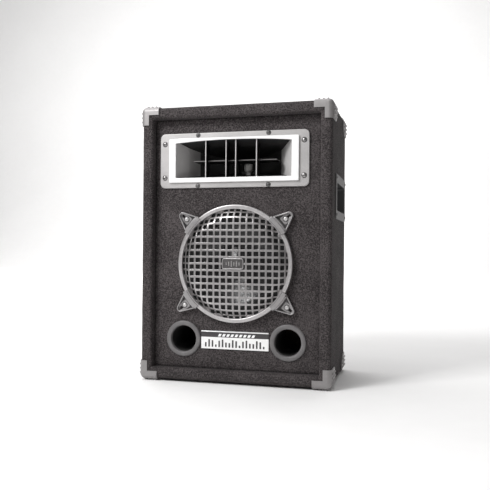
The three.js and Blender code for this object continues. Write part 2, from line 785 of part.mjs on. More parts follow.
function makeNameplate() {
  const { width, height, thickness, z, ridge, ridgeRise } = NAMEPLATE;
  const back = FACE - GAP;
  const front = back - thickness;
  const body = plate(roundedRect(width, height, 1), front, back);
  const ridgeHeight = [height / 2 - ridge, height / 2];
  const bar = block([-width / 2, width / 2], [front - ridgeRise, back], ridgeHeight);
  addPiece(groupAt(0, 0, BASE + z), "nameplate", join(body, bar), white);
}

// A recessed grip drawn facing -Y, with its rim lying on the plane y = 0.
function handleShape() {
  const { width, height, cornerRadius, flange, mouthWidth, mouthHeight } = HANDLE;
  const { floorWidth, floorHeight, depth, wall, fingerRise } = HANDLE;
  const rim = plate(roundedRect(width, height, cornerRadius), -flange - GAP, -GAP);
  const cup = loft([
    [-GAP - 0.5, mouthWidth + 2 * wall, mouthHeight + 2 * wall],
    [depth + wall, floorWidth + 2 * wall, floorHeight + 2 * wall],
  ]);
  const hollow = loft([
    [-flange - 1, mouthWidth, mouthHeight],
    [-GAP, mouthWidth, mouthHeight],
    [depth, floorWidth, floorHeight],
  ]);
  const behindWall = CARPET + BOARD + GAP;
  const [half, crown] = [floorWidth / 2 - 2, floorHeight / 2 + fingerRise];
  const hoodDepth = [behindWall, depth + wall];
  const hood = block([-half - wall, half + wall], hoodDepth, [0, crown + wall]);
  const fingers = block([-half, half], [behindWall + wall, depth], [0, crown]);
  return cut(join(rim, cup, hood), hollow, fingers);
}

function makeHandles() {
  const shape = handleShape();
  for (const [name, side] of [["left", -1], ["right", 1]]) {
    const place = groupAt(side * HALF_WIDTH, HANDLE.y, BASE + HANDLE.z);
    place.rotation.z = (side * Math.PI) / 2;
    addPiece(place, `carry_handle_${name}`, shape, blackPlastic);
  }
}

// ---------------------------------------------------------------- rear input
function makeTerminals() {
  const rear = groupAt(0, 0, BASE + TERMINAL.z);
  const { width, height, mouthWidth, mouthHeight, wall, flange } = TERMINAL;
  const face = BACK + GAP + flange;
  const rim = plate(roundedRect(width, height, 5), BACK + GAP, face);
  const outside = block(
    [-mouthWidth / 2 - wall, mouthWidth / 2 + wall],
    [CUP_FLOOR - wall, BACK + GAP + 0.5],
    [-mouthHeight / 2 - wall, mouthHeight / 2 + wall],
  );
  const hollow = block(
    [-mouthWidth / 2, mouthWidth / 2],
    [CUP_FLOOR, face + 1],
    [-mouthHeight / 2, mouthHeight / 2],
  );
  const jackShape = disc(JACK.bushing + GAP, JACK.x);
  const jackHole = plate(jackShape, CUP_FLOOR - wall - 1, CUP_FLOOR + 1, 24);
  const cup = cut(join(rim, outside), hollow, jackHole);
  addPiece(rear, "terminal_cup", join(cup, terminalBlock()), blackPlastic);
  makeLevers(rear);
  makeJack(rear);
}

// A raised block on the cup's floor with a pocket for each push lever.
function terminalBlock() {
  const { wall } = TERMINAL;
  const half = LEVER.width / 2 + GAP;
  const [left, right] = LEVER.x;
  const [low, high] = [LEVER.pivotZ - LEVER.height - 5, LEVER.pivotZ + 4];
  const depth = [CUP_FLOOR - 0.5, CUP_FLOOR + LEVER.standOut - 1];
  const pad = block([left - half - wall, right + half + wall], depth, [low, high]);
  const pockets = LEVER.x.map((x) =>
    block([x - half, x + half], [CUP_FLOOR + 0.4, CUP_FLOOR + 30], [low + wall, high + 1]),
  );
  return cut(pad, ...pockets);
}

// Each lever hangs from a pivot at its top and is pressed in at its lower end.
function makeLevers(rear) {
  const { width, height, thickness, pivotZ, standOut } = LEVER;
  const outer = CUP_FLOOR + standOut;
  const side = polygon([
    [outer - thickness, pivotZ + 2],
    [outer, pivotZ + 2],
    [outer + 1.6, pivotZ - height + 3],
    [outer + 0.6, pivotZ - height],
    [outer - thickness + 1.4, pivotZ - height],
  ]);
  const options = { depth: width, bevelEnabled: false };
  const geometry = sideways(new THREE.ExtrudeGeometry(side, options));
  const shape = solid(geometry.translate(-width / 2, 0, 0));
  const [redX, blackX] = LEVER.x;
  addPiece(rear, "push_lever_red", shape.translate([redX, 0, 0]), red);
  addPiece(rear, "push_lever_black", shape.translate([blackX, 0, 0]), blackPlastic);
}

function makeJack(rear) {
  const { x, bore, bushing, nut, body, bodyLength } = JACK;
  const floorBack = CUP_FLOOR - TERMINAL.wall - GAP;
  const socket = turned([
    [bore, CUP_FLOOR + 4.5],
    [nut, CUP_FLOOR + 4.5],
    [nut, CUP_FLOOR + GAP],
    [bushing, CUP_FLOOR + GAP],
    [bushing, floorBack],
    [body, floorBack],
    [body, floorBack - bodyLength],
    [bore, floorBack - bodyLength],
  ], 16);
  addPiece(groupAt(x, 0, 0, rear), "input_jack", socket, blackPlastic);
}

// ---------------------------------------------------------------- crossover and leads
function makeCrossover() {
  const { y, width, depth, thickness } = CROSSOVER;
  const base = INNER_BASE + GAP;
  const top = base + thickness + GAP;
  const boardDepth = [y - depth / 2, y + depth / 2];
  const board = block([-width / 2, width / 2], boardDepth, [base, base + thickness]);
  addPiece(speaker, "crossover_board", board, circuitBoard);

  const coil = groupAt(-26, y, top);
  coil.rotation.x = Math.PI / 2;
  const [core, edge, rise] = [9, 24, 22];
  addPiece(coil, "crossover_coil", turned([
    [core, 0],
    [edge, 0],
    [edge, 2],
    [edge - 3, 2],
    [edge - 3, rise - 2],
    [edge, rise - 2],
    [edge, rise],
    [core, rise],
  ], 16), copper);

  const canRadius = 9;
  const can = groupAt(28, y, top + canRadius);
  addPiece(can, "crossover_capacitor", turned([
    [0, -20],
    [canRadius - 1, -20],
    [canRadius, -19],
    [canRadius, 19],
    [canRadius - 1, 20],
    [0, 20],
  ], 16), film);
}

// Leads run through free space inside the box, from the board to what each one feeds.
function makeLeads() {
  const { y, thickness } = CROSSOVER;
  const solder = INNER_BASE + GAP + thickness + GAP; // a lead's end on the board
  const rise = 12;
  const cupBack = CUP_FLOOR - TERMINAL.wall - GAP;
  const inputLead = lead([
    [-20, cupBack - GAP, BASE + TERMINAL.z],
    [-20, cupBack - 9, BASE + TERMINAL.z - 1],
    [-16, cupBack - 16, BASE + TERMINAL.z - 30],
    [0, y + 22, solder + 40],
    [6, y + 20, solder + rise],
    [6, y + 20, solder],
  ]);
  addPiece(speaker, "input_lead", inputLead, cable);
  const [basketSide, basketY] = [64, -47];
  const wooferLead = lead([
    [8, y - 26, solder],
    [8, y - 26, solder + rise],
    [40, y - 28, solder + 40],
    [88, y - 40, solder + 100],
    [92, basketY, BASE + WOOFER.z - 30],
    [basketSide + 12, basketY, BASE + WOOFER.z - 18],
    [basketSide, basketY, BASE + WOOFER.z - 17],
  ]);
  addPiece(speaker, "woofer_lead", wooferLead, cable);
  const housingBase = BASE + HORN.z - HORN_DRIVER.radius - 2 * GAP;
  const hornLead = lead([
    [46, y + 24, solder],
    [46, y + 24, solder + rise],
    [80, y + 12, solder + 110],
    [76, y + 12, solder + 210],
    [HORN.x + 14, y + 8, housingBase - 50],
    [HORN.x, y + 4, housingBase - rise],
    [HORN.x, y + 4, housingBase],
  ]);
  addPiece(speaker, "horn_lead", hornLead, cable);
}

makePanels();
makeCarpets();
makeWadding();
makeProtectors();
makeHorn();
makeWoofer();
makeGrille();
makeClamps();
makePorts();
makeNameplate();
makeHandles();
makeTerminals();
makeCrossover();
makeLeads();

export default speaker;
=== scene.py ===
"""The looks of a carpet-covered PA speaker cabinet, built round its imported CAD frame.

Shapes are written in millimetres in the CAD's own frame and turned to metres when a piece is made.
"""
import math
import random

import bmesh
import bpy
from mathutils import Matrix, Vector, noise
from mathutils.geometry import tessellate_polygon
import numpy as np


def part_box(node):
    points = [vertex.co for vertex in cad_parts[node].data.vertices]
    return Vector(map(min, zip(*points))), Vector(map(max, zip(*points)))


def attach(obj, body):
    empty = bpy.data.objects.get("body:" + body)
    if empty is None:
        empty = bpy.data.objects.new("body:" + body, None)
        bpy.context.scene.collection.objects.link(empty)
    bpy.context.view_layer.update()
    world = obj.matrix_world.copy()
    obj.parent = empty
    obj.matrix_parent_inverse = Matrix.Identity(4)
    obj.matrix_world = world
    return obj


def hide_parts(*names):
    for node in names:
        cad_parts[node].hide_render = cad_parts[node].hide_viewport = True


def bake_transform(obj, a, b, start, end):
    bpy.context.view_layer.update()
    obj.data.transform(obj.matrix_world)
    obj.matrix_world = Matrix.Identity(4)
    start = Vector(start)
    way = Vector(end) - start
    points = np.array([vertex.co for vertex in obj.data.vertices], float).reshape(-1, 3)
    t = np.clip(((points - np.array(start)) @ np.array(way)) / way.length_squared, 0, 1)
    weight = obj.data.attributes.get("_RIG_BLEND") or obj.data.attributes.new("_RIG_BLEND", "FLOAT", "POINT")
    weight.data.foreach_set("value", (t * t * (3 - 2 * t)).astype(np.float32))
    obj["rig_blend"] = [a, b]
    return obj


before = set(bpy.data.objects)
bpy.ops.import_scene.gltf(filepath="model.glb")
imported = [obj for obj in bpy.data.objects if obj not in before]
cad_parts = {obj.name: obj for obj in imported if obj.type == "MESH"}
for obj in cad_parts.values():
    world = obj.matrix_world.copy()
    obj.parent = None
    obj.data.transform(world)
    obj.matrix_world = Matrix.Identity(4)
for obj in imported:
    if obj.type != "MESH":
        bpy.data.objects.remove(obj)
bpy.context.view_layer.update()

MM = 0.001
QUARTER = math.pi / 2
SMOOTH_ANGLE = math.radians(38)  # edges sharper than this stay sharp
FLAT_ANGLE = math.radians(1)
WELD = 1e-5
random.seed(7)


# ---------------------------------------------------------------- camera and light
LENS, SENSOR = 46.804, 36  # millimetres
RISE = 0.00794  # how far the picture is shifted up, as a part of its width
CAMERA_PLACE = (0.2947, -1.1459, 0.2327)
CAMERA_TURN, CAMERA_ROLL = 0.2561, 0.0082  # radians
WORLD_COLOUR, WORLD_STRENGTH = (1.0, 0.985, 0.975, 1), 0.27
MIDDLE = (0, 0, 0.25)
LIGHTS = (  # name, place, what it points at, width and height, power in watts
    ("key", (-0.72, -1.0, 1.25), MIDDLE, (0.45, 0.4), 18.5),
    ("glint", (-0.5, -1.3, 0.9), (0, 0, 0.33), (0.4, 0.4), 2.6),
    ("top", (-0.4, 0.1, 1.9), MIDDLE, (1.4, 1.4), 12.5),
    ("backdrop", (-1.7, 2.4, 3.0), (-1.9, 5.5, 0.8), (5.0, 2.0), 215),
    ("backdrop_low", (-0.8, 1.2, 2.6), (-1.0, 3.2, 0.0), (4.0, 1.5), 55),
)


def linked(name, data):
    """A new object in the scene."""
    made = bpy.data.objects.new(name, data)
    bpy.context.scene.collection.objects.link(made)
    return made


def make_camera():
    data = bpy.data.cameras.new("camera")
    data.sensor_width = SENSOR
    data.lens = LENS
    data.shift_y = RISE
    camera = linked("camera", data)
    level = Matrix.Rotation(CAMERA_TURN, 4, "Z") @ Matrix.Rotation(QUARTER, 4, "X")
    camera.matrix_world = Matrix.Translation(CAMERA_PLACE) @ level @ Matrix.Rotation(CAMERA_ROLL, 4, "Z")
    bpy.context.scene.camera = camera


def soft_light(name, place, target, size, power):
    data = bpy.data.lights.new(name, "AREA")
    data.shape = "RECTANGLE"
    data.size, data.size_y = size
    data.energy = power
    light = linked(name, data)
    light.location = place
    light.rotation_euler = (Vector(target) - Vector(place)).to_track_quat("-Z", "Y").to_euler()


def make_studio():
    world = bpy.data.worlds.new("studio")
    world.use_nodes = True
    background = world.node_tree.nodes["Background"]
    background.inputs["Color"].default_value = WORLD_COLOUR
    background.inputs["Strength"].default_value = WORLD_STRENGTH
    bpy.context.scene.world = world
    bpy.context.scene.view_settings.view_transform = "Standard"
    for light in LIGHTS:
        soft_light(*light)


def make_floor():
    """A pale floor that curves up into a backdrop far behind the cabinet."""
    half, near, far, bend, top = 9000, -6000, 5000, 2000, 7000
    profile = [(near, 0), *arc(bend, -QUARTER, 0, 16, far, bend), (far + bend, top)]
    shape = Shape()
    shape.add([(x, y, z) for y, z in profile for x in (-half, half)],
              [(i, i + 1, i + 3, i + 2) for i in range(0, 2 * len(profile) - 2, 2)])
    floor = linked("floor", shape.mesh("floor", ["floor_paper"]))
    floor.data.shade_smooth()


# ---------------------------------------------------------------- materials
FINISHES = {}  # every material by name, filled before the first piece is made


class Tree:
    """A material's nodes. Every texture is placed in the object's own space, in metres."""

    def __init__(self, name, metallic=0.0, **sockets):
        self.material = bpy.data.materials.new(name)
        self.material.use_nodes = True
        self.nodes = self.material.node_tree.nodes
        self.links = self.material.node_tree.links
        self.shader = next(n for n in self.nodes if n.type == "BSDF_PRINCIPLED")
        self.fixed(Metallic=metallic, **sockets)

    def fixed(self, **sockets):
        """Constant values on the shader's own sockets."""
        for socket, value in sockets.items():
            self.shader.inputs[socket.replace("_", " ")].default_value = value

    def put(self, socket, value):
        """Feeds a socket from another node's output, or sets it to a constant."""
        if isinstance(value, bpy.types.NodeSocket):
            self.links.new(value, socket)
        else:
            socket.default_value = value

    def node(self, kind, inputs, **settings):
        """A new node with its settings and its inputs, which go by name or by number."""
        made = self.nodes.new("ShaderNode" + kind)
        for name, value in settings.items():
            setattr(made, name, value)
        for socket, value in inputs.items():
            self.put(made.inputs[socket], value)
        return made

    def position(self):
        return self.node("TexCoord", {}).outputs["Object"]

    def place(self, stretch=(1, 1, 1)):
        return self.node("Mapping", {"Vector": self.position(), "Scale": stretch}).outputs["Vector"]

    def noise(self, place, scale, detail=3.0, roughness=0.55):
        inputs = {"Vector": place, "Scale": scale, "Detail": detail, "Roughness": roughness}
        return self.node("TexNoise", inputs).outputs["Fac"]

    def cells(self, place, scale, output="Distance"):
        return self.node("TexVoronoi", {"Vector": place, "Scale": scale}).outputs[output]

    def math(self, operation, a, b=0.0):
        return self.node("Math", {0: a, 1: b}, operation=operation).outputs[0]

    def total(self, *weighted):
        """The sum of (value, weight) pairs."""
        parts = [self.math("MULTIPLY", value, weight) for value, weight in weighted]
        result = parts[0]
        for part in parts[1:]:
            result = self.math("ADD", result, part)
        return result

    def spread(self, value, low, high, start=0.3, end=0.7):
        """value, mapped from start..end to low..high and held there."""
        inputs = {"Value": value, "From Min": start, "From Max": end, "To Min": low, "To Max": high}
        return self.node("MapRange", inputs, clamp=True).outputs["Result"]

    def ramp(self, value, *stops):
        made = self.node("ValToRGB", {"Fac": value})
        elements = made.color_ramp.elements
        while len(elements) < len(stops):
            elements.new(0.5)
        for element, (position, colour) in zip(elements, stops):
            element.position = position
            element.color = (*colour, 1)
        return made.outputs["Color"]

    def mix(self, factor, a, b):
        """Two colours mixed; the node's own colour sockets are its inputs 6 and 7 and its output 2."""
        a, b = (c if isinstance(c, bpy.types.NodeSocket) else (*c, 1) for c in (a, b))
        return self.node("Mix", {"Factor": factor, 6: a, 7: b}, data_type="RGBA").outputs[2]

    def colour(self, value):
        self.put(self.shader.inputs["Base Color"], value)

    def shade(self, value, *stops):
        self.colour(self.ramp(value, *stops))

    def rough(self, value, low, high):
        self.put(self.shader.inputs["Roughness"], self.spread(value, low, high))

    def bump(self, height, relief):
        """A relief of so many micrometres."""
        made = self.node("Bump", {"Height": height, "Distance": relief * 1e-6, "Strength": 1.0})
        self.put(self.shader.inputs["Normal"], made.outputs["Normal"])


def surface(name, dark, light, rough, grain, relief=0, metallic=0.0, stretch=(1, 1, 1), coat=None):
    """Colour and roughness that drift between two values, under a clear coat if it has one."""
    tree = Tree(name, metallic)
    if coat:
        tree.fixed(Coat_Weight=coat[0], Coat_Roughness=coat[1])
    place = tree.place(stretch)
    broad = tree.noise(place, grain / 14)
    fine = tree.noise(place, grain, 4)
    tree.shade(tree.total((broad, 0.6), (fine, 0.4)), (0.35, dark), (0.65, light))
    tree.rough(fine, *rough)
    if relief:
        tree.bump(fine, relief)
    return tree.material


def carpet_finish():
    """Short felted pile: a soft weave of tufts, lighter flecks and a slow change of shade."""
    tree = Tree("carpet", Sheen_Weight=0.02, Sheen_Roughness=0.45, Specular_IOR_Level=0.15)
    place = tree.place()
    tufts = tree.noise(place, 420, 3, 0.65)
    fibres = tree.noise(tree.place((1.0, 1.0, 0.4)), 1500, 2, 0.6)
    slow = tree.noise(place, 14, 3)
    weave = tree.cells(place, 520)
    pile = tree.ramp(tree.total((tufts, 0.5), (fibres, 0.22), (slow, 0.18), (weave, 0.22)),
                     (0.36, (0.010, 0.0088, 0.009)), (0.52, (0.034, 0.030, 0.0305)),
                     (0.66, (0.095, 0.084, 0.085)))
    flecks = tree.spread(tree.noise(place, 900, 1, 0.4), 0.0, 0.55, 0.70, 0.80)
    tree.colour(tree.mix(flecks, pile, (0.17, 0.155, 0.155)))
    tree.rough(tufts, 0.85, 1.0)
    tree.bump(tree.total((tufts, 0.6), (fibres, 0.25), (weave, 0.3)), 1100)
    return tree.material


def wood_finish():
    """Particle board with short chips, darkened as painted shade for the inside of the closed cabinet."""
    tree = Tree("board")
    place = tree.place((1, 1, 0.5))
    chips = tree.ramp(tree.cells(place, 260, "Color"),
                      (0.1, (0.075, 0.052, 0.034)), (0.5, (0.13, 0.095, 0.065)), (0.9, (0.20, 0.155, 0.11)))
    grain = tree.noise(place, 90, 4)
    tree.colour(tree.mix(tree.spread(grain, 0.15, 0.55), chips, (0.11, 0.08, 0.052)))
    tree.rough(grain, 0.75, 0.95)
    tree.bump(grain, 400)
    return tree.material


def horn_finish(name, mouth, throat, turn, metallic, rough):
    """The mouth's colour, turning to the throat's between two depths behind the horn's face; the throat's
    colour is a dark painted shade.
    """
    tree = Tree(name, metallic)
    brushed = tree.noise(tree.place((0.35, 1, 1)), 900, 3)
    broad = tree.noise(tree.place(), 24, 3)
    darker = tuple(c * 0.86 for c in mouth)
    front = tree.ramp(tree.total((brushed, 0.4), (broad, 0.6)), (0.38, darker), (0.62, mouth))
    split = tree.node("SeparateXYZ", {"Vector": tree.position()})
    start, end = ((HORN_FACE + depth) * MM for depth in turn)
    depth = tree.spread(split.outputs["Y"], 0.0, 1.0, start, end)
    tree.colour(tree.mix(depth, front, throat))
    tree.rough(brushed, *rough)
    tree.bump(brushed, 30)
    return tree.material


def glass_finish():
    """Frosted lamp glass, a little uneven."""
    tree = Tree("lamp_glass", Transmission_Weight=0.45, IOR=1.5)
    streaks = tree.noise(tree.place(), 160, 2)
    tree.shade(streaks, (0.3, (0.42, 0.41, 0.40)), (0.7, (0.66, 0.65, 0.63)))
    tree.rough(streaks, 0.16, 0.30)
    return tree.material


def wadding_finish():
    tree = Tree("wadding", Sheen_Weight=0.4, Sheen_Roughness=0.6)
    place = tree.place()
    fluff = tree.total((tree.noise(place, 90, 6, 0.7), 0.7), (tree.noise(place, 900, 3), 0.3))
    tree.shade(fluff, (0.35, (0.62, 0.61, 0.57)), (0.65, (0.88, 0.87, 0.83)))
    tree.rough(fluff, 0.9, 1.0)
    tree.bump(fluff, 2000)
    return tree.material


def spider_finish():
    """Woven, resin-stiffened cloth."""
    tree = Tree("spider_cloth")
    threads = tree.cells(tree.place(), 900)
    tree.shade(threads, (0.1, (0.55, 0.38, 0.14)), (0.7, (0.33, 0.21, 0.07)))
    tree.rough(threads, 0.7, 0.9)
    tree.bump(threads, 200)
    return tree.material


def winding_finish():
    """Lacquered copper wire laid turn beside turn."""
    tree = Tree("copper_winding", 0.9, Coat_Weight=0.4, Coat_Roughness=0.15)
    inputs = {"Vector": tree.place(), "Scale": 300.0, "Distortion": 0.4}
    turns = tree.node("TexWave", inputs, bands_direction="Y").outputs["Fac"]
    tree.shade(turns, (0.1, (0.32, 0.13, 0.06)), (0.8, (0.74, 0.36, 0.19)))
    tree.rough(turns, 0.45, 0.25)
    tree.bump(turns, 200)
    return tree.material


# name: colour at the mouth, colour in the throat (a dark painted shade), depths where it turns, metallic,
# roughness
HORN_SURFACES = {
    # past 50 mm deep the bell turns near-black: painted shade in its throat
    "horn_silver": ((0.47, 0.457, 0.455), (0.006, 0.006, 0.006), (49, 51), 0.4, (0.34, 0.5)),
    "bell_grey": ((0.50, 0.488, 0.485), (0.03, 0.029, 0.029), (49, 51), 0.0, (0.4, 0.55)),
    # the vanes keep a silver front edge, and their sides behind it turn near-black as painted shade
    "vane_silver_painted_shade": ((0.62, 0.60, 0.60), (0.009, 0.009, 0.009), (0.7, 1.5), 0.35, (0.3, 0.45)),
    # the shelf is the vanes' plastic painted darker all over as shade, since it lies deeper, and darker still
    # behind its edge
    "shelf_painted_shade": ((0.17, 0.163, 0.163), (0.009, 0.009, 0.009), (12.5, 13.3), 0.35, (0.3, 0.45)),
}
# name: dark and light colour, roughness, grains in a metre, relief in micrometres, metallic, stretch
SURFACES = {
    "floor_paper": ((0.92, 0.917, 0.915), (0.95, 0.947, 0.945), (0.7, 0.8), 20),
    # near-white and barely metallic: the bright reflection of the studio is painted into the chrome's colour
    "chrome": ((0.95, 0.95, 0.95), (0.98, 0.98, 0.98), (0.16, 0.22), 120, 0, 0.1),
    "plated_steel": ((0.55, 0.54, 0.54), (0.64, 0.63, 0.63), (0.24, 0.34), 300, 10, 1.0),
    "head_metal": ((0.62, 0.61, 0.61), (0.72, 0.71, 0.71), (0.3, 0.4), 300, 0, 0.5),
    "badge_metal": ((0.36, 0.35, 0.35), (0.44, 0.43, 0.43), (0.26, 0.36), 150, 0, 0.8),
    "badge_dark": ((0.10, 0.096, 0.096), (0.15, 0.144, 0.145), (0.3, 0.4), 150, 0, 0.8),
    "screw_metal": ((0.30, 0.29, 0.29), (0.38, 0.37, 0.37), (0.22, 0.32), 300, 10, 1.0),
    "dark_steel": ((0.10, 0.10, 0.10), (0.19, 0.185, 0.185), (0.3, 0.45), 300, 30, 0.9),
    "corner_metal": ((0.26, 0.25, 0.25), (0.32, 0.308, 0.308), (0.48, 0.58), 240, 30, 0.55, (1, 0.5, 1)),
    "grille_steel": ((0.33, 0.317, 0.32), (0.43, 0.415, 0.415), (0.30, 0.38), 260, 20, 0.9),
    "ring_steel": ((0.48, 0.465, 0.467), (0.58, 0.563, 0.565), (0.32, 0.42), 260, 20, 0.9),
    "clamp_metal": ((0.30, 0.29, 0.292), (0.38, 0.368, 0.372), (0.34, 0.44), 320, 20, 0.7),
    # painted shade: the ear's floor between its walls, much darker than the clamp itself
    "clamp_dish_painted_shade": ((0.055, 0.053, 0.053), (0.085, 0.081, 0.082), (0.34, 0.44), 320, 0, 0.5),
    "grey_plastic": ((0.12, 0.115, 0.116), (0.16, 0.153, 0.155), (0.42, 0.56), 900, 60),
    # black plastic, also used as the painted shade inside the handles' pockets
    "black_plastic": ((0.010, 0.010, 0.0105), (0.020, 0.0195, 0.020), (0.38, 0.52), 1400, 100),
    "handle_plastic": ((0.055, 0.051, 0.052), (0.080, 0.075, 0.076), (0.40, 0.55), 1400, 100),
    # painted shade: the near-black of the bell's roof and floor, which face away from the light
    "bell_roof_painted_shade": ((0.010, 0.010, 0.010), (0.018, 0.017, 0.017), (0.5, 0.65), 900, 60),
    "bore_black": ((0.018, 0.017, 0.017), (0.028, 0.027, 0.027), (0.5, 0.65), 900, 60),
    "cone_paper": ((0.012, 0.0117, 0.012), (0.024, 0.023, 0.0235), (0.24, 0.36), 420, 100),
    "painted_steel": ((0.018, 0.018, 0.019), (0.032, 0.032, 0.034), (0.35, 0.5), 500, 50),
    "surround_rubber": ((0.011, 0.011, 0.011), (0.021, 0.021, 0.021), (0.5, 0.7), 700, 80),
    "ferrite": ((0.035, 0.035, 0.037), (0.065, 0.064, 0.066), (0.6, 0.8), 600, 100),
    "nameplate_white": ((0.86, 0.855, 0.85), (0.91, 0.905, 0.90), (0.25, 0.35), 200),
    "nameplate_dark": ((0.035, 0.032, 0.033), (0.055, 0.051, 0.052), (0.3, 0.4), 600, 30),
    "red_plastic": ((0.38, 0.012, 0.012), (0.50, 0.024, 0.022), (0.28, 0.4), 700, 40),
    "circuit_board": ((0.22, 0.14, 0.055), (0.34, 0.235, 0.10), (0.5, 0.65), 300, 50),
    "capacitor_film": ((0.50, 0.30, 0.035), (0.68, 0.44, 0.075), (0.2, 0.32), 90),
    "lead_jacket": ((0.012, 0.012, 0.012), (0.025, 0.024, 0.024), (0.45, 0.6), 800, 50),
    "filament": ((0.50, 0.48, 0.45), (0.75, 0.72, 0.66), (0.2, 0.3), 500, 0, 1.0),
}
# name: weight and roughness of the clear coat
COATS = {
    "chrome": (0.6, 0.05),
    "cone_paper": (0.35, 0.22),
    "nameplate_white": (0.4, 0.1),
    "capacitor_film": (0.5, 0.1),
}


def make_finishes():
    made = {"carpet": carpet_finish(), "board": wood_finish(), "wadding": wadding_finish(),
            "spider_cloth": spider_finish(), "copper_winding": winding_finish(), "lamp_glass": glass_finish()}
    made |= {name: horn_finish(name, *values) for name, values in HORN_SURFACES.items()}
    made |= {name: surface(name, *values, coat=COATS.get(name)) for name, values in SURFACES.items()}
    FINISHES.update(made)


# ---------------------------------------------------------------- shapes
def edited(mesh, *steps):
    """Runs each step on the mesh and writes it back."""
    bm = bmesh.new()
    bm.from_mesh(mesh)
    for step in steps:
        step(bm)
    bm.to_mesh(mesh)
    bm.free()


def weld(bm):
    bmesh.ops.remove_doubles(bm, verts=bm.verts, dist=WELD)


def face_outwards(bm):
    bmesh.ops.recalc_face_normals(bm, faces=bm.faces)


def drop_loose(bm):
    bmesh.ops.delete(bm, geom=[v for v in bm.verts if not v.link_faces], context="VERTS")


def join_flat_faces(bm):
    bmesh.ops.dissolve_limit(bm, angle_limit=FLAT_ANGLE, verts=bm.verts, edges=bm.edges)


def circle(radius, steps, x=0.0, z=0.0):
    turns = [2 * math.pi * i / steps for i in range(steps)]
    return [(x + radius * math.cos(a), z + radius * math.sin(a)) for a in turns]


def arc(radius, start, end, steps, x=0.0, z=0.0):
    angles = [start + (end - start) * i / steps for i in range(steps + 1)]
    return [(x + radius * math.cos(a), z + radius * math.sin(a)) for a in angles]


def rounded(width, height, radius, x=0.0, z=0.0, steps=8):
    """A rectangle with round corners, anticlockwise from its right-hand top corner."""
    w, h = width / 2 - radius, height / 2 - radius
    points = []
    for i, (cx, cz) in enumerate(((w, h), (-w, h), (-w, -h), (w, -h))):
        points += arc(radius, i * QUARTER, (i + 1) * QUARTER, steps, x + cx, z + cz)
    return points


def offset(outline, distance):
    """The outline moved outwards by distance, with mitred corners; it is drawn anticlockwise."""
    moved = []
    for i, point in enumerate(outline):
        here = Vector(point)
        before = (here - Vector(outline[i - 1])).normalized()
        after = (Vector(outline[(i + 1) % len(outline)]) - here).normalized()
        normal = Vector((before.y + after.y, -before.x - after.x)).normalized()
        facing = max(0.4, normal.dot(Vector((before.y, -before.x))))
        moved.append(tuple(here + normal * (distance / facing)))
    return moved


class Shape:
    """Points and faces in millimetres, gathered part by part and made into one piece at the end."""

    def __init__(self):
        self.points = []
        self.faces = []
        self.slots = []
        self.slot = 0

    def join(self, faces):
        """Adds faces between points that are already there."""
        self.faces += faces
        self.slots += [self.slot] * len(faces)

    def add(self, points, faces):
        start = len(self.points)
        self.points += [Vector(p) for p in points]
        self.join([tuple(start + i for i in face) for face in faces])

    def skin(self, rings, closed=True, loop=False):
        """A surface through rings of equal length, closed at its two ends or back onto its first ring."""
        count = len(rings[0])
        faces = []
        for r in range(len(rings) if loop else len(rings) - 1):
            a, b = r * count, (r + 1) % len(rings) * count
            for i in range(count):
                j = (i + 1) % count
                faces.append((a + i, a + j, b + j, b + i))
        if closed and not loop:
            for start in (0, (len(rings) - 1) * count):
                faces.append(tuple(range(start, start + count)))
        self.add([p for ring in rings for p in ring], faces)

    def turned(self, profile, x=0.0, z=0.0, steps=96, loop=True):
        """A profile of (radius, y) turned about the Y axis through (x, z)."""
        rings = [[(px, y, pz) for px, pz in circle(max(r, 1e-4), steps, x, z)] for r, y in profile]
        self.skin(rings, loop=loop)

    def plate(self, outline, y0, y1, holes=(), edge=0.6, back_edge=0.0, steps=3):
        """A plate across the Y axis from y0, its front, to y1. Its front edges are rounded by `edge`."""
        profile = arc(edge, -QUARTER, -2 * QUARTER, steps, edge, y0 + edge)
        if back_edge:
            profile += [(0, y1 - back_edge), (back_edge, y1)]
        else:
            profile.append((0, y1))
        ends = ([], [])
        for loop, side in [(outline, -1)] + [(hole, 1) for hole in holes]:
            start, count = len(self.points), len(loop)
            rings = [[(x, y, z) for x, z in offset(loop, side * inset)] for inset, y in profile]
            self.skin(rings, closed=False)
            ends[0].append(range(start, start + count))
            ends[1].append(range(len(self.points) - count, len(self.points)))
        for loops in ends:
            order = [i for loop in loops for i in loop]
            triangles = tessellate_polygon([[self.points[i] for i in loop] for loop in loops])
            self.join([tuple(order[i] for i in corners) for corners in triangles])

    def middle(self, face):
        return sum((self.points[i] for i in face), Vector()) / len(face)

    def moved(self, matrix, first=0):
        for i in range(first, len(self.points)):
            self.points[i] = matrix @ self.points[i]
        return self

    def copied(self, other, matrix):
        start = len(self.points)
        self.points += [matrix @ p for p in other.points]
        self.faces += [tuple(start + i for i in face) for face in other.faces]
        self.slots += [self.slot + s for s in other.slots]

    def mesh(self, name, finishes=(), scale=MM):
        made = bpy.data.meshes.new(name)
        made.from_pydata([p * scale for p in self.points], [], self.faces)
        for finish in finishes:
            made.materials.append(FINISHES[finish])
        made.polygons.foreach_set("material_index", self.slots)
        return made

    def scratch(self, name):
        """An object in millimetres, outside the scene, to carve with."""
        return bpy.data.objects.new(name, self.mesh(name, scale=1))

    def piece(self, name, finishes, slot, body="cabinet", replaces=()):
        return finished(name, self.mesh(name, finishes), body, replaces)


def finished(name, mesh, body="cabinet", replaces=(), bevel=0.0):
    """Turns a mesh's faces outwards and makes it a piece that rides on a body."""
    edited(mesh, face_outwards)
    mesh.shade_smooth()
    mesh.set_sharp_from_angle(angle=SMOOTH_ANGLE)
    piece = linked(name, mesh)
    if bevel:
        add_bevel(piece, bevel)
    piece.modifiers.new("even_normals", "WEIGHTED_NORMAL").keep_sharp = True
    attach(piece, body)
    if replaces:
        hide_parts(*replaces)
    return piece


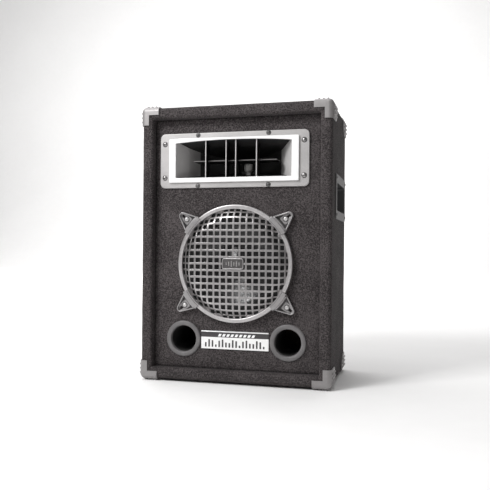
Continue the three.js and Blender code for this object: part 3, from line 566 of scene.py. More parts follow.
def sheet(name, mesh, node, depth):
    """Makes an open surface a thin piece, `depth` thick behind it, in place of a CAD node."""
    mesh.shade_smooth()
    piece = linked(name, mesh)
    thickness = piece.modifiers.new("thickness", "SOLIDIFY")
    thickness.thickness = depth * MM
    thickness.offset = -1
    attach(piece, "cabinet")
    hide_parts(node)
    return piece


def add_bevel(piece, width, segments=2):
    bevel = piece.modifiers.new("soft_edges", "BEVEL")
    bevel.width = width * MM
    bevel.segments = segments
    bevel.limit_method = "ANGLE"
    bevel.angle_limit = SMOOTH_ANGLE


def span(node):
    """The lowest and highest corners of a CAD node, in millimetres."""
    low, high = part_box(node)
    return low / MM, high / MM


def centre(node):
    low, high = span(node)
    return (low + high) / 2


# ---------------------------------------------------------------- places taken from the frame
SHELL_LOW, SHELL_HIGH = span("shell_carpet")
SHELL_MIDDLE = (SHELL_LOW + SHELL_HIGH) / 2
HALF = (SHELL_HIGH - SHELL_LOW) / 2
FACE = span("baffle_carpet")[0].y
SEAT = FACE - 0.3  # back of everything that is fixed on the baffle
RIM = 20.0  # width of the shell's front edge round the recessed baffle
EDGE_RADIUS = 7.0
WOOFER = centre("grille_ring")
HORN = centre("horn_bezel")
HORN_FACE = span("horn_body")[0].y
PORTS = {side: centre("bass_port_" + side) for side in ("left", "right")}
PLATE = centre("nameplate")
CUP_LOW, CUP_HIGH = span("terminal_cup")
CUP = (CUP_LOW + CUP_HIGH) / 2


# ---------------------------------------------------------------- carpet
def nap(point, height):
    """A small unevenness of the pile, the same at every run."""
    wide = noise.noise(Vector(point) * 0.035)
    fine = noise.noise(Vector(point) * 0.21 + Vector((9, 4, 2)))
    return height * (0.6 * wide + 0.4 * fine)


def divided(stops, step):
    """The stops, with the gaps between them divided into parts no longer than step."""
    places = [stops[0]]
    for a, b in zip(stops, stops[1:]):
        parts = max(1, math.ceil((b - a) / step))
        places += [a + (b - a) * i / parts for i in range(1, parts + 1)]
    return places


def carpet_ring(inset, y, z_stops, x_stops):
    """A rounded rectangle at one depth, its sides divided at fixed places so that rings match."""
    radius = max(EDGE_RADIUS - inset, 1.2)
    across, up = HALF.x - inset - radius, HALF.z - inset - radius
    shrink = up / (HALF.z - EDGE_RADIUS)
    ring = []
    for quarter, (sx, sz) in enumerate(((1, 1), (-1, 1), (-1, -1), (1, -1))):
        ring += arc(radius, quarter * QUARTER, (quarter + 1) * QUARTER, 6, sx * across, sz * up)
        if quarter % 2 == 0:  # the top runs left, the bottom right
            ring += [(-sx * u * across, sz * (up + radius)) for u in x_stops]
        else:  # the left side runs down, the right side up
            ring += [(sx * (across + radius), -sz * v * shrink) for v in z_stops]
    return [(x, y, z + SHELL_MIDDLE.z) for x, z in ring]


def shell_profile(y_stops):
    """(inset, y) from the foot of the recess, over the front edge, along the side and over the back edge."""
    front, back = SHELL_LOW.y, SHELL_HIGH.y
    inner, turn, steps = 5.0, EDGE_RADIUS, 5
    profile = [(RIM, -y) for y in divided([0.2 - FACE, -(front + inner)], 4)]
    profile += arc(inner, 0, -QUARTER, steps, RIM - inner, front + inner)[1:]
    profile.append(((RIM - inner + turn) / 2, front))
    profile += arc(turn, -QUARTER, -2 * QUARTER, steps, turn, front + turn)
    profile += [(0, y) for y in y_stops[1:-1]]
    profile += arc(turn, 2 * QUARTER, QUARTER, steps, turn, back - turn)
    return profile + [(13.5, back), (16.2, back - 0.5), (17.3, back - 2.0)]


def make_shell_carpet():
    """The carpet round the shell, with a hole at each side that the handle's frame covers."""
    margin, pitch, parts = 10.0, 9, 36
    low, high = span("carry_handle_right")
    hole_y = (low.y + margin, high.y - margin)
    hole_z = (low.z + margin - SHELL_MIDDLE.z, high.z - margin - SHELL_MIDDLE.z)
    reach = HALF.z - EDGE_RADIUS
    along = divided([SHELL_LOW.y + EDGE_RADIUS, *hole_y, SHELL_HIGH.y - EDGE_RADIUS], pitch)
    up = [-v for v in reversed(divided([-reach, *hole_z, reach], pitch)[1:-1])]
    across = [-1 + 2 * i / parts for i in range(1, parts)]
    shape = Shape()
    rings = [carpet_ring(inset, y, up, across) for inset, y in shell_profile(along)]
    shape.skin(rings[::-1], closed=False)

    def is_carpet(face):
        middle = shape.middle(face)
        in_hole = hole_y[0] < middle.y < hole_y[1] and hole_z[0] < middle.z - SHELL_MIDDLE.z < hole_z[1]
        return abs(middle.x) < HALF.x - 1 or not in_hole

    shape.faces = [face for face in shape.faces if is_carpet(face)]
    shape.slots = [0] * len(shape.faces)
    mesh = shape.mesh("carpet_shell", ["carpet"])
    edited(mesh, drop_loose)
    for vertex, normal in [(v, v.normal.copy()) for v in mesh.vertices]:
        vertex.co += normal * nap(vertex.co / MM, 0.35) * MM
    sheet("carpet_shell", mesh, "shell_carpet", 2.2)


def net(xs, zs, place, is_open):
    """A shape over a grid of lines, with the cells left out that are open."""
    shape = Shape()
    across = len(xs)
    faces = []
    for row in range(len(zs) - 1):
        for column in range(across - 1):
            a = row * across + column
            if not is_open(xs[column], xs[column + 1], zs[row], zs[row + 1]):
                faces.append((a, a + 1, a + across + 1, a + across))
    shape.add([place(x, z) for z in zs for x in xs], faces)
    return shape


def make_carpet_panel(name, node, facing, holes, step=3.0, rounding=2.0):
    """A flat felted panel that faces -Y or +Y, with its own edges rounded over and holes cut out."""
    low, high = span(node)
    front = low.y if facing < 0 else high.y

    def place(x, z):
        edge = min(x - low.x, high.x - x, z - low.z, high.z - z)
        drop = rounding - math.sqrt(max(0.0, rounding ** 2 - max(0.0, rounding - edge) ** 2))
        return x, front - facing * drop + nap((x, front, z), 0.3), z

    def is_open(x0, x1, z0, z1):
        return any(hole((x0 + x1) / 2, (z0 + z1) / 2) for hole in holes)

    shape = net(divided([low.x, high.x], step), divided([low.z, high.z], step), place, is_open)
    if facing > 0:
        shape.faces = [face[::-1] for face in shape.faces]
    mesh = shape.mesh(name, ["carpet"])
    edited(mesh, drop_loose)
    sheet(name, mesh, node, 2.0)


def round_hole(middle, radius):
    return lambda x, z: math.hypot(x - middle.x, z - middle.z) < radius


def square_hole(middle, width, height):
    return lambda x, z: abs(x - middle.x) < width / 2 and abs(z - middle.z) < height / 2


def make_carpets():
    """The holes are a little smaller than what is fixed over them."""
    woofer, port, horn_width, horn_height, cup_width, cup_height = 95, 27, 216, 70, 102, 72
    make_shell_carpet()
    openings = [round_hole(WOOFER, woofer), square_hole(HORN, horn_width, horn_height)]
    openings += [round_hole(middle, port) for middle in PORTS.values()]
    make_carpet_panel("carpet_baffle", "baffle_carpet", -1, openings)
    make_carpet_panel("carpet_back", "back_carpet", 1, [square_hole(CUP, cup_width, cup_height)], 5.0, 2.2)


# ---------------------------------------------------------------- screws
def screw_mesh():
    """A pan-head cross screw, its head's foot at y = 0 and radius 1, facing -Y."""
    head = Shape()
    head.turned([(0.0, -0.52), (0.35, -0.50), (0.62, -0.44), (0.84, -0.31), (0.96, -0.14), (1.0, 0.0),
                 (0.45, 0.02), (0.45, 1.2), (0.0, 1.4)], steps=28, loop=False)
    recess = Shape()
    wide, narrow = 0.56, 0.12
    for turn in (0, QUARTER):
        first = len(recess.points)
        rings = []
        for y, reach in ((-0.8, wide), (-0.45, wide * 0.95), (-0.12, narrow * 1.2)):
            rings.append([(reach, y, narrow), (-reach, y, narrow), (-reach, y, -narrow), (reach, y, -narrow)])
        recess.skin(rings)
        recess.moved(Matrix.Rotation(turn, 4, "Y"), first)
    return carved(head.scratch("screw"), [("DIFFERENCE", recess.scratch("recess"))])


def carved(blank, steps):
    """The blank's mesh after each (operation, other object) in turn; the objects are scratch and removed."""
    scratch = [blank] + [other for _, other in steps]
    for obj in scratch:
        edited(obj.data, weld, face_outwards)
        bpy.context.scene.collection.objects.link(obj)
    for operation, other in steps:
        boolean = blank.modifiers.new(operation.lower(), "BOOLEAN")
        boolean.operation = operation
        boolean.object = other
        boolean.solver = "EXACT"
        boolean.use_self = True
    bpy.context.view_layer.update()
    result = bpy.data.meshes.new_from_object(blank.evaluated_get(bpy.context.evaluated_depsgraph_get()))
    for obj in scratch:
        bpy.data.objects.remove(obj)
    return result


SCREW = screw_mesh()


def make_screws(name, places, facing, radius, finish, replaces=(), washer=None):
    """Copies of the screw at places, turned to face a direction, each at its own angle. A washer finish adds
    a dark ring under each head, painted shadow round the head.
    """
    shape = Shape()
    head = Shape()
    head.add([v.co for v in SCREW.vertices], [tuple(p.vertices) for p in SCREW.polygons])
    # the dark ring under the head is painted shadow round it
    if washer:
        head.slot = 1
        head.turned([(0.5, -0.12), (1.24, -0.1), (1.3, 0.0), (1.3, 0.1), (0.5, 0.1)], steps=28)
    for place in places:
        spin = Matrix.Rotation(random.uniform(0, math.pi), 4, "Y")
        shape.copied(head, Matrix.Translation(place) @ facing @ spin @ Matrix.Scale(radius, 4))
    shape.piece(name, [finish, washer] if washer else [finish], "plated_steel", replaces=replaces)


def four(middle, x, z, y):
    """Four places round a middle, x and z away from it, at one y."""
    return [Vector((middle.x + sx * x, y, middle.z + sz * z)) for sx in (-1, 1) for sz in (-1, 1)]


TO_FRONT = Matrix.Identity(4)
TO_BACK = Matrix.Rotation(2 * QUARTER, 4, "Z")
TO_RIGHT = Matrix.Rotation(QUARTER, 4, "Z")
TO_LEFT = Matrix.Rotation(-QUARTER, 4, "Z")
TO_TOP = Matrix.Rotation(-QUARTER, 4, "X")
TO_BASE = Matrix.Rotation(QUARTER, 4, "X")


# ---------------------------------------------------------------- corner protectors
def rounded_box(half, radius, segments=7):
    """A scratch box with round edges, about the origin."""
    def build(bm):
        bmesh.ops.create_cube(bm, size=2)
        bmesh.ops.scale(bm, vec=half, verts=bm.verts)
        bmesh.ops.bevel(bm, geom=bm.edges[:], offset=radius, segments=segments, affect="EDGES", profile=0.5)

    box = Shape().scratch("box")
    edited(box.data, build)
    return box


def prism(outline, low, high, axis):
    """A scratch solid: an outline drawn across one axis ("X" or "Z") and stretched along it."""
    shape = Shape()
    for_x = axis == "X"
    shape.skin([[(level, a, b) if for_x else (a, b, level) for a, b in outline] for level in (low, high)])
    return shape.scratch("prism")


PROTECTOR = {"thickness": 2.0, "clearance": 0.3, "leg": 31.0, "leg_width": 13.0, "reach": 50.0, "far": 16.0,
             "shoulder": 36.0, "beyond": 6.0}
RIBS = {"start": 5.0, "half_width": 1.7, "half_height": 2.7, "sunk": 0.9, "radius": 1.5,
        "ends": ((8.5, 44.0), (16.0, 44.0), (23.5, 39.0))}  # (distance from the edge, far end) of each


def protector_limits():
    """The space that the front top right protector may fill: its side's outline and its top's, joined."""
    size = PROTECTOR
    leg, shoulder, reach, far = size["leg"], size["shoulder"], size["reach"], size["far"]
    beyond = size["beyond"]
    # how far the plate reaches behind the front, and from the other edge
    outline = [(-beyond, -beyond), (-beyond, leg), (shoulder, leg), (shoulder + 4, leg - 5.0),
               (reach - 2.5, far + 1.5), (reach, far - 1.5), (reach, -beyond)]
    side = [(y - HALF.y, HALF.z - z) for y, z in outline]
    top = [(HALF.x - x, y - HALF.y) for y, x in outline]
    flank = prism(side, HALF.x - size["leg_width"], HALF.x + beyond, "X")
    lid = prism(top, HALF.z - size["leg_width"], HALF.z + beyond, "Z")
    return bpy.data.objects.new("limits", carved(flank, [("UNION", lid)]))


def protector_ribs():
    """Three pressed ribs on the protector's side and three on its top."""
    ribs = []
    tall, wide = RIBS["half_height"], RIBS["half_width"]
    edge = PROTECTOR["thickness"] - RIBS["sunk"]
    for inset, end in RIBS["ends"]:
        half = (end - RIBS["start"]) / 2
        along = RIBS["start"] + half - HALF.y
        for size, place in (((tall, half, wide), (HALF.x + edge, along, HALF.z - inset)),
                            ((wide, half, tall), (HALF.x - inset, along, HALF.z + edge))):
            rib = rounded_box(size, RIBS["radius"], 4)
            rib.data.transform(Matrix.Translation(place))
            ribs.append(("UNION", rib))
    return ribs


def protector_mesh():
    """The front top right protector, in millimetres from the middle of the cabinet."""
    thickness, clearance = PROTECTOR["thickness"], PROTECTOR["clearance"]
    skin = rounded_box(HALF + Vector((thickness,) * 3), EDGE_RADIUS + thickness)
    core = rounded_box(HALF + Vector((clearance,) * 3), EDGE_RADIUS + clearance)
    plate = carved(skin, [("DIFFERENCE", core), ("INTERSECT", protector_limits())])
    return carved(bpy.data.objects.new("plate", plate), protector_ribs())


def make_protectors():
    """Eight mirrored copies of one protector, each with a screw in its side and one in its top or base."""
    source = protector_mesh()
    behind, inset, proud, radius = 30.0, 28.2, 1.9, 2.4
    for vertical, sz in (("top", 1), ("bottom", -1)):
        for face, sy in (("front", 1), ("back", -1)):
            for side, sx in (("left", -1), ("right", 1)):
                name = f"{vertical}_{face}_{side}"
                mesh = source.copy()
                mirror = Matrix.Translation(SHELL_MIDDLE) @ Matrix.Diagonal((sx, sy, sz, 1))
                mesh.transform(Matrix.Scale(MM, 4) @ mirror)
                mesh.materials.clear()
                mesh.materials.append(FINISHES["corner_metal"])
                finished("protector_" + name, mesh, replaces=["corner_" + name], bevel=0.35)
                flank = mirror @ Vector((HALF.x + proud, behind - HALF.y, HALF.z - inset))
                lid = mirror @ Vector((HALF.x - inset, behind - HALF.y, HALF.z + proud))
                outwards, upwards = TO_RIGHT if sx > 0 else TO_LEFT, TO_TOP if sz > 0 else TO_BASE
                make_screws("screw_flank_" + name, [flank], outwards, radius, "plated_steel")
                make_screws("screw_lid_" + name, [lid], upwards, radius, "plated_steel")


# ---------------------------------------------------------------- horn
# depth behind the flange's face, width and height inside the bell
BELL = [(0, 207, 70), (25, 176, 53), (50, 152, 45), (75, 96, 34), (100, 40, 27), (112, 28, 26)]
BELL_WALL = 2.5
BELL_EDGE = 1.6


def bell_size(depth):
    """Width and height inside the bell at a depth behind the flange's face."""
    for (d0, w0, h0), (d1, w1, h1) in zip(BELL, BELL[1:]):
        if depth <= d1:
            t = (depth - d0) / (d1 - d0)
            return w0 + (w1 - w0) * t, h0 + (h1 - h0) * t
    return BELL[-1][1:]


def bell_ring(depth, grow, radius):
    width, height = bell_size(depth)
    outline = rounded(width + 2 * grow, height + 2 * grow, radius, HORN.x, HORN.z, 4)
    return [(x, HORN_FACE + depth, z) for x, z in outline]


def make_horn():
    low, high = span("horn_body")
    shape = Shape()
    depths = [0, 8, 16, 24, 26, 36, 48, 51, 62, 73, 77, 88, 98, 102, 112]
    inside = [bell_ring(depth, 0, BELL_EDGE) for depth in depths]
    outside = [bell_ring(depth, BELL_WALL, BELL_EDGE + 1) for depth in reversed(depths)]
    shape.skin(inside + outside, loop=True)
    for i, face in enumerate(shape.faces):  # the bell's roof and floor get a near-black painted shade, as they face away from the light
        middle = shape.middle(face)
        height = bell_size(middle.y - HORN_FACE)[1]
        shape.slots[i] = 1 if abs(middle.z - HORN.z) > height / 2 - 1.2 else 2
    flange = rounded(high.x - low.x, high.z - low.z, 9, (low.x + high.x) / 2, (low.z + high.z) / 2)
    mouth = rounded(*BELL[0][1:], BELL_EDGE, HORN.x, HORN.z, 4)
    shape.plate(flange, HORN_FACE, SEAT, [mouth], edge=1.1, steps=4)
    finish = ["horn_silver", "bell_roof_painted_shade", "bell_grey"]
    shape.piece("horn_bell", finish, "horn_plastic", replaces=["horn_body"])


def arched_opening(width, height, arch, steps=24):
    """The bezel's opening: square at its foot, with a top that rises towards the middle."""
    w, h = width / 2, height / 2
    points = [(-w, -h), (w, -h)]
    for i in range(steps + 1):
        t = i / steps
        x = w - 2 * w * t
        points.append((x, h + arch * 4 * t * (1 - t)))
    return [(HORN.x + x, HORN.z + z) for x, z in points]


def make_bezel():
    low, high = span("horn_bezel")
    shape = Shape()
    outline = rounded(high.x - low.x, high.z - low.z, 2.2, HORN.x, HORN.z, 6)
    shape.plate(outline, low.y, high.y + 0.2, [arched_opening(BELL[0][1], 61, 4.4)], edge=1.0, steps=4)
    # the bezel's chrome is a near-white colour with its reflection painted in
    shape.piece("horn_trim", ["chrome"], "chrome", replaces=["horn_bezel"])


def make_vanes():
    """Four upright vanes at the mouth and a level shelf behind them."""
    shape = Shape()
    half, clear, shelf_half = 1.0, 0.4, 75.0
    corners = ((-1, -1), (1, -1), (1, 1), (-1, 1))

    def fin(x, stops):
        """A thin block through rings of (depth, half its width, half its height)."""
        shape.skin([[(HORN.x + x + sx * wide, HORN_FACE + depth, HORN.z + sz * tall) for sx, sz in corners]
                    for depth, wide, tall in stops])

    for x in (-49.3, -12.4, 5.0, 41.8):
        thickness = ((0.3, 0.45), (0.9, half), (10, half), (19.4, half), (20, 0.6))
        fin(x, [(depth, thick, bell_size(depth)[1] / 2 - clear) for depth, thick in thickness])
    # the shelf takes the darker painted-shade copy of the vanes' finish
    shape.slot = 1
    thickness = ((12, 0.55), (12.5, half), (25, half), (47.4, half), (48, 0.5))
    fin(0, [(depth, shelf_half, thick) for depth, thick in thickness])
    finish = ["vane_silver_painted_shade", "shelf_painted_shade"]
    shape.piece("horn_fins", finish, "horn_plastic", replaces=["horn_vanes"])


def make_horn_screws():
    """Four screws near the flange's corners and four half over its upper and lower edges."""
    wide, tall, near, over, y = 124.5, 29.75, 63.1, 44.2, HORN_FACE - 0.1
    sides, edges = four(HORN, wide, tall, y), four(HORN, near, over, y)
    make_screws("screws_horn_sides", sides, TO_FRONT, 3.7, "screw_metal", washer="dark_steel")
    make_screws("screws_horn_edges", edges, TO_FRONT, 3.4, "dark_steel", washer="dark_steel")


def upright(shape, base):
    """Stands a shape that was turned about Y on end, with its y = 0 at base."""
    return shape.moved(Matrix.Translation(base) @ Matrix.Rotation(QUARTER, 4, "X"))


def make_lamp():
    """A frosted bulb on a threaded collar, with its filament on two posts."""
    low, high = span("lamp_bulb")
    base = Vector(((low.x + high.x) / 2, (low.y + high.y) / 2, span("lamp_holder")[0].z))
    wall = 0.7
    outer = [(4.0, 4.0), (4.4, 4.6), (6.2, 6.2), (7.6, 8.4), (8.0, 11.5), (8.0, 16.5), (7.4, 19.2),
             (5.6, 20.5), (0, 20.8)]
    inner = [(max(r - wall, 0), y - (wall if i > 5 else 0)) for i, (r, y) in enumerate(outer)]
    bulb = Shape()
    bulb.turned(outer + inner[::-1], steps=40)
    upright(bulb, base).piece("lamp_envelope", ["lamp_glass"], "lamp_glass", replaces=["lamp_bulb"])

    collar = Shape()
    collar.turned([(0, 0), (4.5, 0), (4.5, 0.8), (4.1, 1.2), (4.5, 1.7), (4.1, 2.2), (4.5, 2.8), (4.3, 3.8),
                   (3.6, 4.1), (0, 4.2)], steps=40, loop=False)
    upright(collar, base).piece("lamp_collar", ["head_metal"], "plated_steel", replaces=["lamp_holder"])

    apart, foot, top, turn, last = 2.2, 3.6, 12.2, 1.3, 60
    wire = Shape()
    for x in (-apart, apart):
        wire.turned([(0.35, foot), (0.35, top)], x=x, steps=10, loop=False)
    coil = [(-apart + 2 * apart * t / last, top + 0.7 * math.sin(t * turn), 0.7 * math.cos(t * turn))
            for t in range(last + 1)]
    wire.skin([ring_round(p, coil[min(i + 1, last)], coil[max(i - 1, 0)], 0.22) for i, p in enumerate(coil)])
    wire.turned([(0, foot), (1.6, foot), (1.2, 7.0), (0, 7.4)], steps=16, loop=False)
    upright(wire, base).piece("lamp_filament", ["filament"], "plated_steel")


def ring_round(point, ahead, behind, radius, steps=6):
    """A small circle round a path's point, square to the path."""
    along = (Vector(ahead) - Vector(behind)).normalized()
    side = along.cross(Vector((0.31, 0.52, 0.79))).normalized()
    other = along.cross(side)
    angles = [2 * math.pi * i / steps for i in range(steps)]
    return [Vector(point) + radius * (side * math.cos(a) + other * math.sin(a)) for a in angles]


# ---------------------------------------------------------------- woofer
def make_cone():
    low, high = span("woofer_cone")
    rim, neck, edge = low.y, high.y, high.x - WOOFER.x
    cone = Shape()
    front = [(19.0, neck - 1.2), (24, neck - 3.6), (34, neck - 8.2), (46, neck - 13.2), (58, neck - 17.9),
             (66, neck - 21.4), (edge - 0.4, rim + 0.5), (edge, rim)]
    cone.turned(front + [(r + 0.2, y + 1.1) for r, y in reversed(front)], WOOFER.x, WOOFER.z)
    cone.piece("cone_body", ["cone_paper"], "cone_paper", "cone", ["woofer_cone"])

    low, high = span("dust_cap")
    cap = Shape()
    radius, rise, steps = high.x - WOOFER.x, high.y - low.y, 12
    dome = [(radius * i / steps, low.y + rise * (i / steps) ** 2) for i in range(steps)]
    dome += [(radius - 0.6, high.y - 0.8), (radius, high.y - 0.3)]
    cap.turned(dome + [(max(r - 0.4, 0), y + 0.9) for r, y in reversed(dome)], WOOFER.x, WOOFER.z)
    cap.piece("cone_cap", ["cone_paper"], "cone_paper", "cone", ["dust_cap"])


def flexing(front, depth, steps, name, finish, node, inner, outer):
    """A round soft piece between the cone and the basket: inside `inner` it follows the cone."""
    shape = Shape()
    shape.turned(front + [(r, y + depth) for r, y in reversed(front)], WOOFER.x, WOOFER.z, steps)
    mesh = shape.mesh(name, [finish])
    edited(mesh, weld, face_outwards)
    mesh.shade_smooth()
    piece = linked(name, mesh)
    start, end = ((WOOFER + Vector((radius, 0, 0))) * MM for radius in (inner, outer))
    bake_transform(piece, "cone", "cabinet", start, end)
    weights = mesh.attributes["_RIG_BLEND"].data
    for vertex, weight in zip(mesh.vertices, weights):
        radius = math.hypot(vertex.co.x / MM - WOOFER.x, vertex.co.z / MM - WOOFER.z)
        t = min(1.0, max(0.0, (radius - inner) / (outer - inner)))
        weight.value = t * t * (3 - 2 * t)
    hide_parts(node)


def make_surround():
    """A half-round roll of rubber between two flat rims."""
    high = span("cone_surround")[1]
    rim, edge, middle, roll, outer = high.y - 1.2, 71.0, 77.5, 5.2, high.x - WOOFER.x
    front = [(edge, rim), (edge + 1.0, rim), *arc(roll, 2 * QUARTER, 4 * QUARTER, 16, middle, rim - 0.4)]
    front += [(middle + roll + 1.2, rim), (outer, rim)]
    flexing(front, 0.8, 96, "cone_roll", "surround_rubber", "cone_surround", edge + 1.5, middle + roll)


def make_spider():
    """A disc of cloth pressed into rings of waves."""
    low, high = span("spider")
    inner, outer, waves, height, steps = 19.4, high.x - WOOFER.x, 5, 1.5, 60
    level = (low.y + high.y) / 2 - 0.3
    front = []
    for i in range(steps + 1):
        t = i / steps
        front.append((inner + (outer - inner) * t, level + height * math.sin(2 * math.pi * waves * t)))
    flexing(front, 0.6, 64, "coil_spider", "spider_cloth", "spider", inner + 2, outer - 2)


GRILLE_TOP = span("woofer_grille")[0].y
GRILLE_RIM = FACE - 4.8
GRILLE = {"pitch": 11.5, "hole": 8.0, "flat": 79.0, "foot": 92.3, "crown": 2.2, "thickness": 1.2,
          "outer": 103.0, "holes": 100.5}
PRESS_STEP = 0.5


def grille_front(radius):
    """The y of the grille's front surface at a distance from its centre."""
    flat, foot, crown = GRILLE["flat"], GRILLE["foot"], GRILLE["crown"]
    if radius < flat:
        return GRILLE_TOP + crown * (radius / flat) ** 2
    t = min(1.0, (radius - flat) / (foot - flat))
    return GRILLE_TOP + crown + (GRILLE_RIM - GRILLE_TOP - crown) * t ** 1.4


def pressed_radii():
    """The radius that each distance along the dome's own surface reaches, every PRESS_STEP."""
    radii, radius, reach = [], 0.0, 0.1
    while radius < GRILLE["outer"] + 8:
        radii.append(radius)
        slope = (grille_front(radius + reach) - grille_front(radius)) / reach
        radius += PRESS_STEP / math.hypot(1.0, slope)
    return radii


def make_grille():
    """A domed sheet pierced by rows of square holes."""
    pitch, half, outer = GRILLE["pitch"], GRILLE["hole"] / 2, GRILLE["outer"]
    bar = pitch / 2 - half
    count = int(outer / pitch) + 1
    parts = (-bar, -bar / 3, bar / 3, bar, pitch / 2)
    lines = [i * pitch + part for i in range(-count, count + 1) for part in parts]
    bend = pressed_radii()

    def pressed(x, z):
        """Where a point of the flat sheet lies once the sheet is pressed into its dome."""
        flat = math.hypot(x, z)
        step = min(int(flat / PRESS_STEP), len(bend) - 2)
        radius = bend[step] + (bend[step + 1] - bend[step]) * (flat / PRESS_STEP - step)
        scale = radius / flat if flat else 1.0
        return WOOFER.x + x * scale, grille_front(radius), WOOFER.z + z * scale

    def is_open(x0, x1, z0, z1):
        if max(math.hypot(x, z) for x in (x0, x1) for z in (z0, z1)) > outer:
            return True
        x, z = (x0 + x1) / 2, (z0 + z1) / 2
        hole_x, hole_z = ((math.floor(v / pitch) + 0.5) * pitch for v in (x, z))
        in_hole = abs(x - hole_x) < half and abs(z - hole_z) < half
        return in_hole and math.hypot(hole_x, hole_z) < GRILLE["holes"]

    mesh = net(lines[:-1], lines[:-1], pressed, is_open).mesh("grille_sheet", ["grille_steel"])
    edited(mesh, drop_loose)
    piece = sheet("grille_sheet", mesh, "woofer_grille", GRILLE["thickness"])
    add_bevel(piece, 0.58, 3)
    piece.modifiers.new("even_normals", "WEIGHTED_NORMAL")


def make_ring():
    """A steel ring with round front edges; the grille's rim lies under it."""
    low, high = span("grille_ring")
    outer, inner, front, soft, wall, under = high.x - WOOFER.x, 94.3, low.y, 1.5, 1.2, GRILLE_RIM - 0.3
    profile = arc(soft, 2 * QUARTER, 3 * QUARTER, 6, inner + soft, front + soft)
    profile += arc(soft, -QUARTER, 0, 6, outer - soft, front + soft)
    profile += [(outer, high.y), (outer - wall, high.y), (outer - wall, under), (inner, under)]
    shape = Shape()
    shape.turned(profile, WOOFER.x, WOOFER.z, 144)
    shape.piece("grille_band", ["ring_steel"], "grille_steel", replaces=["grille_ring"])


CLAMP_ANGLES = {"top_right": 41, "top_left": 139, "bottom_left": 219, "bottom_right": 321.5}
EAR = {"tip": 132.4, "round": 6.4, "half": 18.0, "lean": math.radians(24.2), "wall": 2.2, "height": 7.5,
       "floor": 2.3}
CLAMP_SEAT = -10.0  # the back of the parts that lie on the ring, in front of the baffle
CLAMP_RIM = 101.9  # where the ear meets the ring's outside


def ear_outline(inset, start):
    """The outline of a clamp's ear, pointing along +X, anticlockwise, its sides pulled in by inset."""
    middle, radius, lean = EAR["tip"] - EAR["round"], EAR["round"] - inset, EAR["lean"]
    foot = radius / math.cos(lean) + (middle - start) * math.tan(lean)
    return arc(radius, lean - QUARTER, QUARTER - lean, 10, middle) + [(start, foot), (start, -foot)]


def fan(inner, outer, spread, steps=20):
    """Part of a ring, anticlockwise."""
    return arc(outer, -spread, spread, steps) + arc(inner, spread, -spread, steps)


def clamp_shape():
    """A clamp with its ear along +X from the middle of the ring, standing on y = 0 and facing -Y."""
    spread = math.asin(EAR["half"] / CLAMP_RIM)
    start = CLAMP_RIM * math.cos(spread) + 1.2
    floor, wall = EAR["floor"], EAR["wall"]
    slot = rounded(16.0, 4.8, 2.35, 120.0, 0, 6)
    shape = Shape()
    # the ear's floor gets a near-black painted shade
    shape.slot = 1
    shape.plate(ear_outline(0.3, start), -floor, 0, [slot], edge=0.3, steps=2)
    shape.slot = 0
    shape.plate(ear_outline(0, start), -EAR["height"], 0, [ear_outline(wall, start + wall)], edge=0.75)
    side = [(118.0, 7.2), (111.0, 7.2), (109.6, 5.6)]  # of the pad round the slot
    pad = arc(EAR["round"] - 0.6, -QUARTER, QUARTER, 10, EAR["tip"] - EAR["round"])
    pad += side + [(x, -z) for x, z in reversed(side)]
    shape.plate(pad, -floor - 0.7, 0, [slot], edge=0.4, steps=2)
    shape.plate(fan(CLAMP_RIM, CLAMP_RIM + 5.2, 0.82 * spread), -10.4, 0, edge=1.6)
    shape.plate(fan(97.2, CLAMP_RIM + 2.6, spread), -12.6, CLAMP_SEAT, edge=0.9, back_edge=0.3)
    shape.plate(fan(94.7, 96.3, spread), -12.4, CLAMP_SEAT, edge=0.5, back_edge=0.3, steps=2)
    shape.plate(fan(95.5, 100.0, spread), -11.2, CLAMP_SEAT, edge=0.2, steps=2)
    return shape


def make_clamps():
    source = clamp_shape()
    foot, radius = 2.3, 3.8  # of the screw's head: how far behind its CAD front it sits, and its size
    for name, degrees in CLAMP_ANGLES.items():
        turn = Matrix.Rotation(-math.radians(degrees), 4, "Y")
        shape = Shape()
        shape.copied(source, Matrix.Translation((WOOFER.x, SEAT, WOOFER.z)) @ turn)
        finish = ["clamp_metal", "clamp_dish_painted_shade"]
        shape.piece("clamp_" + name, finish, "grey_plastic", replaces=["grille_clamp_" + name])
        node = "clamp_screw_" + name
        place = centre(node)
        place.y = span(node)[0].y + foot
        make_screws("screw_" + name, [place], TO_FRONT, radius, "head_metal", [node], "dark_steel")


def make_badge():
    """A small dark plate in the middle of the grille, with a raised rim and six upright bars."""
    low, high = span("grille_badge")
    width, height = high.x - low.x, high.z - low.z
    outline = rounded(width, height, 4, WOOFER.x, WOOFER.z)
    shape = Shape()
    shape.plate(outline, low.y + 0.7, high.y + 0.2, edge=0.4)
    shape.slot = 1
    mouth = rounded(width - 3, height - 3, 2.6, WOOFER.x, WOOFER.z)
    shape.plate(outline, low.y + 0.2, high.y, [mouth], edge=0.4, steps=2)
    for i, tall in enumerate((4, 7, 10, 6, 9, 5)):
        bar = rounded(1.9, tall, 0.6, WOOFER.x + width * (0.12 * i - 0.3), WOOFER.z, 3)
        shape.plate(bar, low.y + 0.3, high.y, edge=0.3, steps=2)
    shape.piece("badge", ["badge_dark", "badge_metal"], "plated_steel", replaces=["grille_badge"])


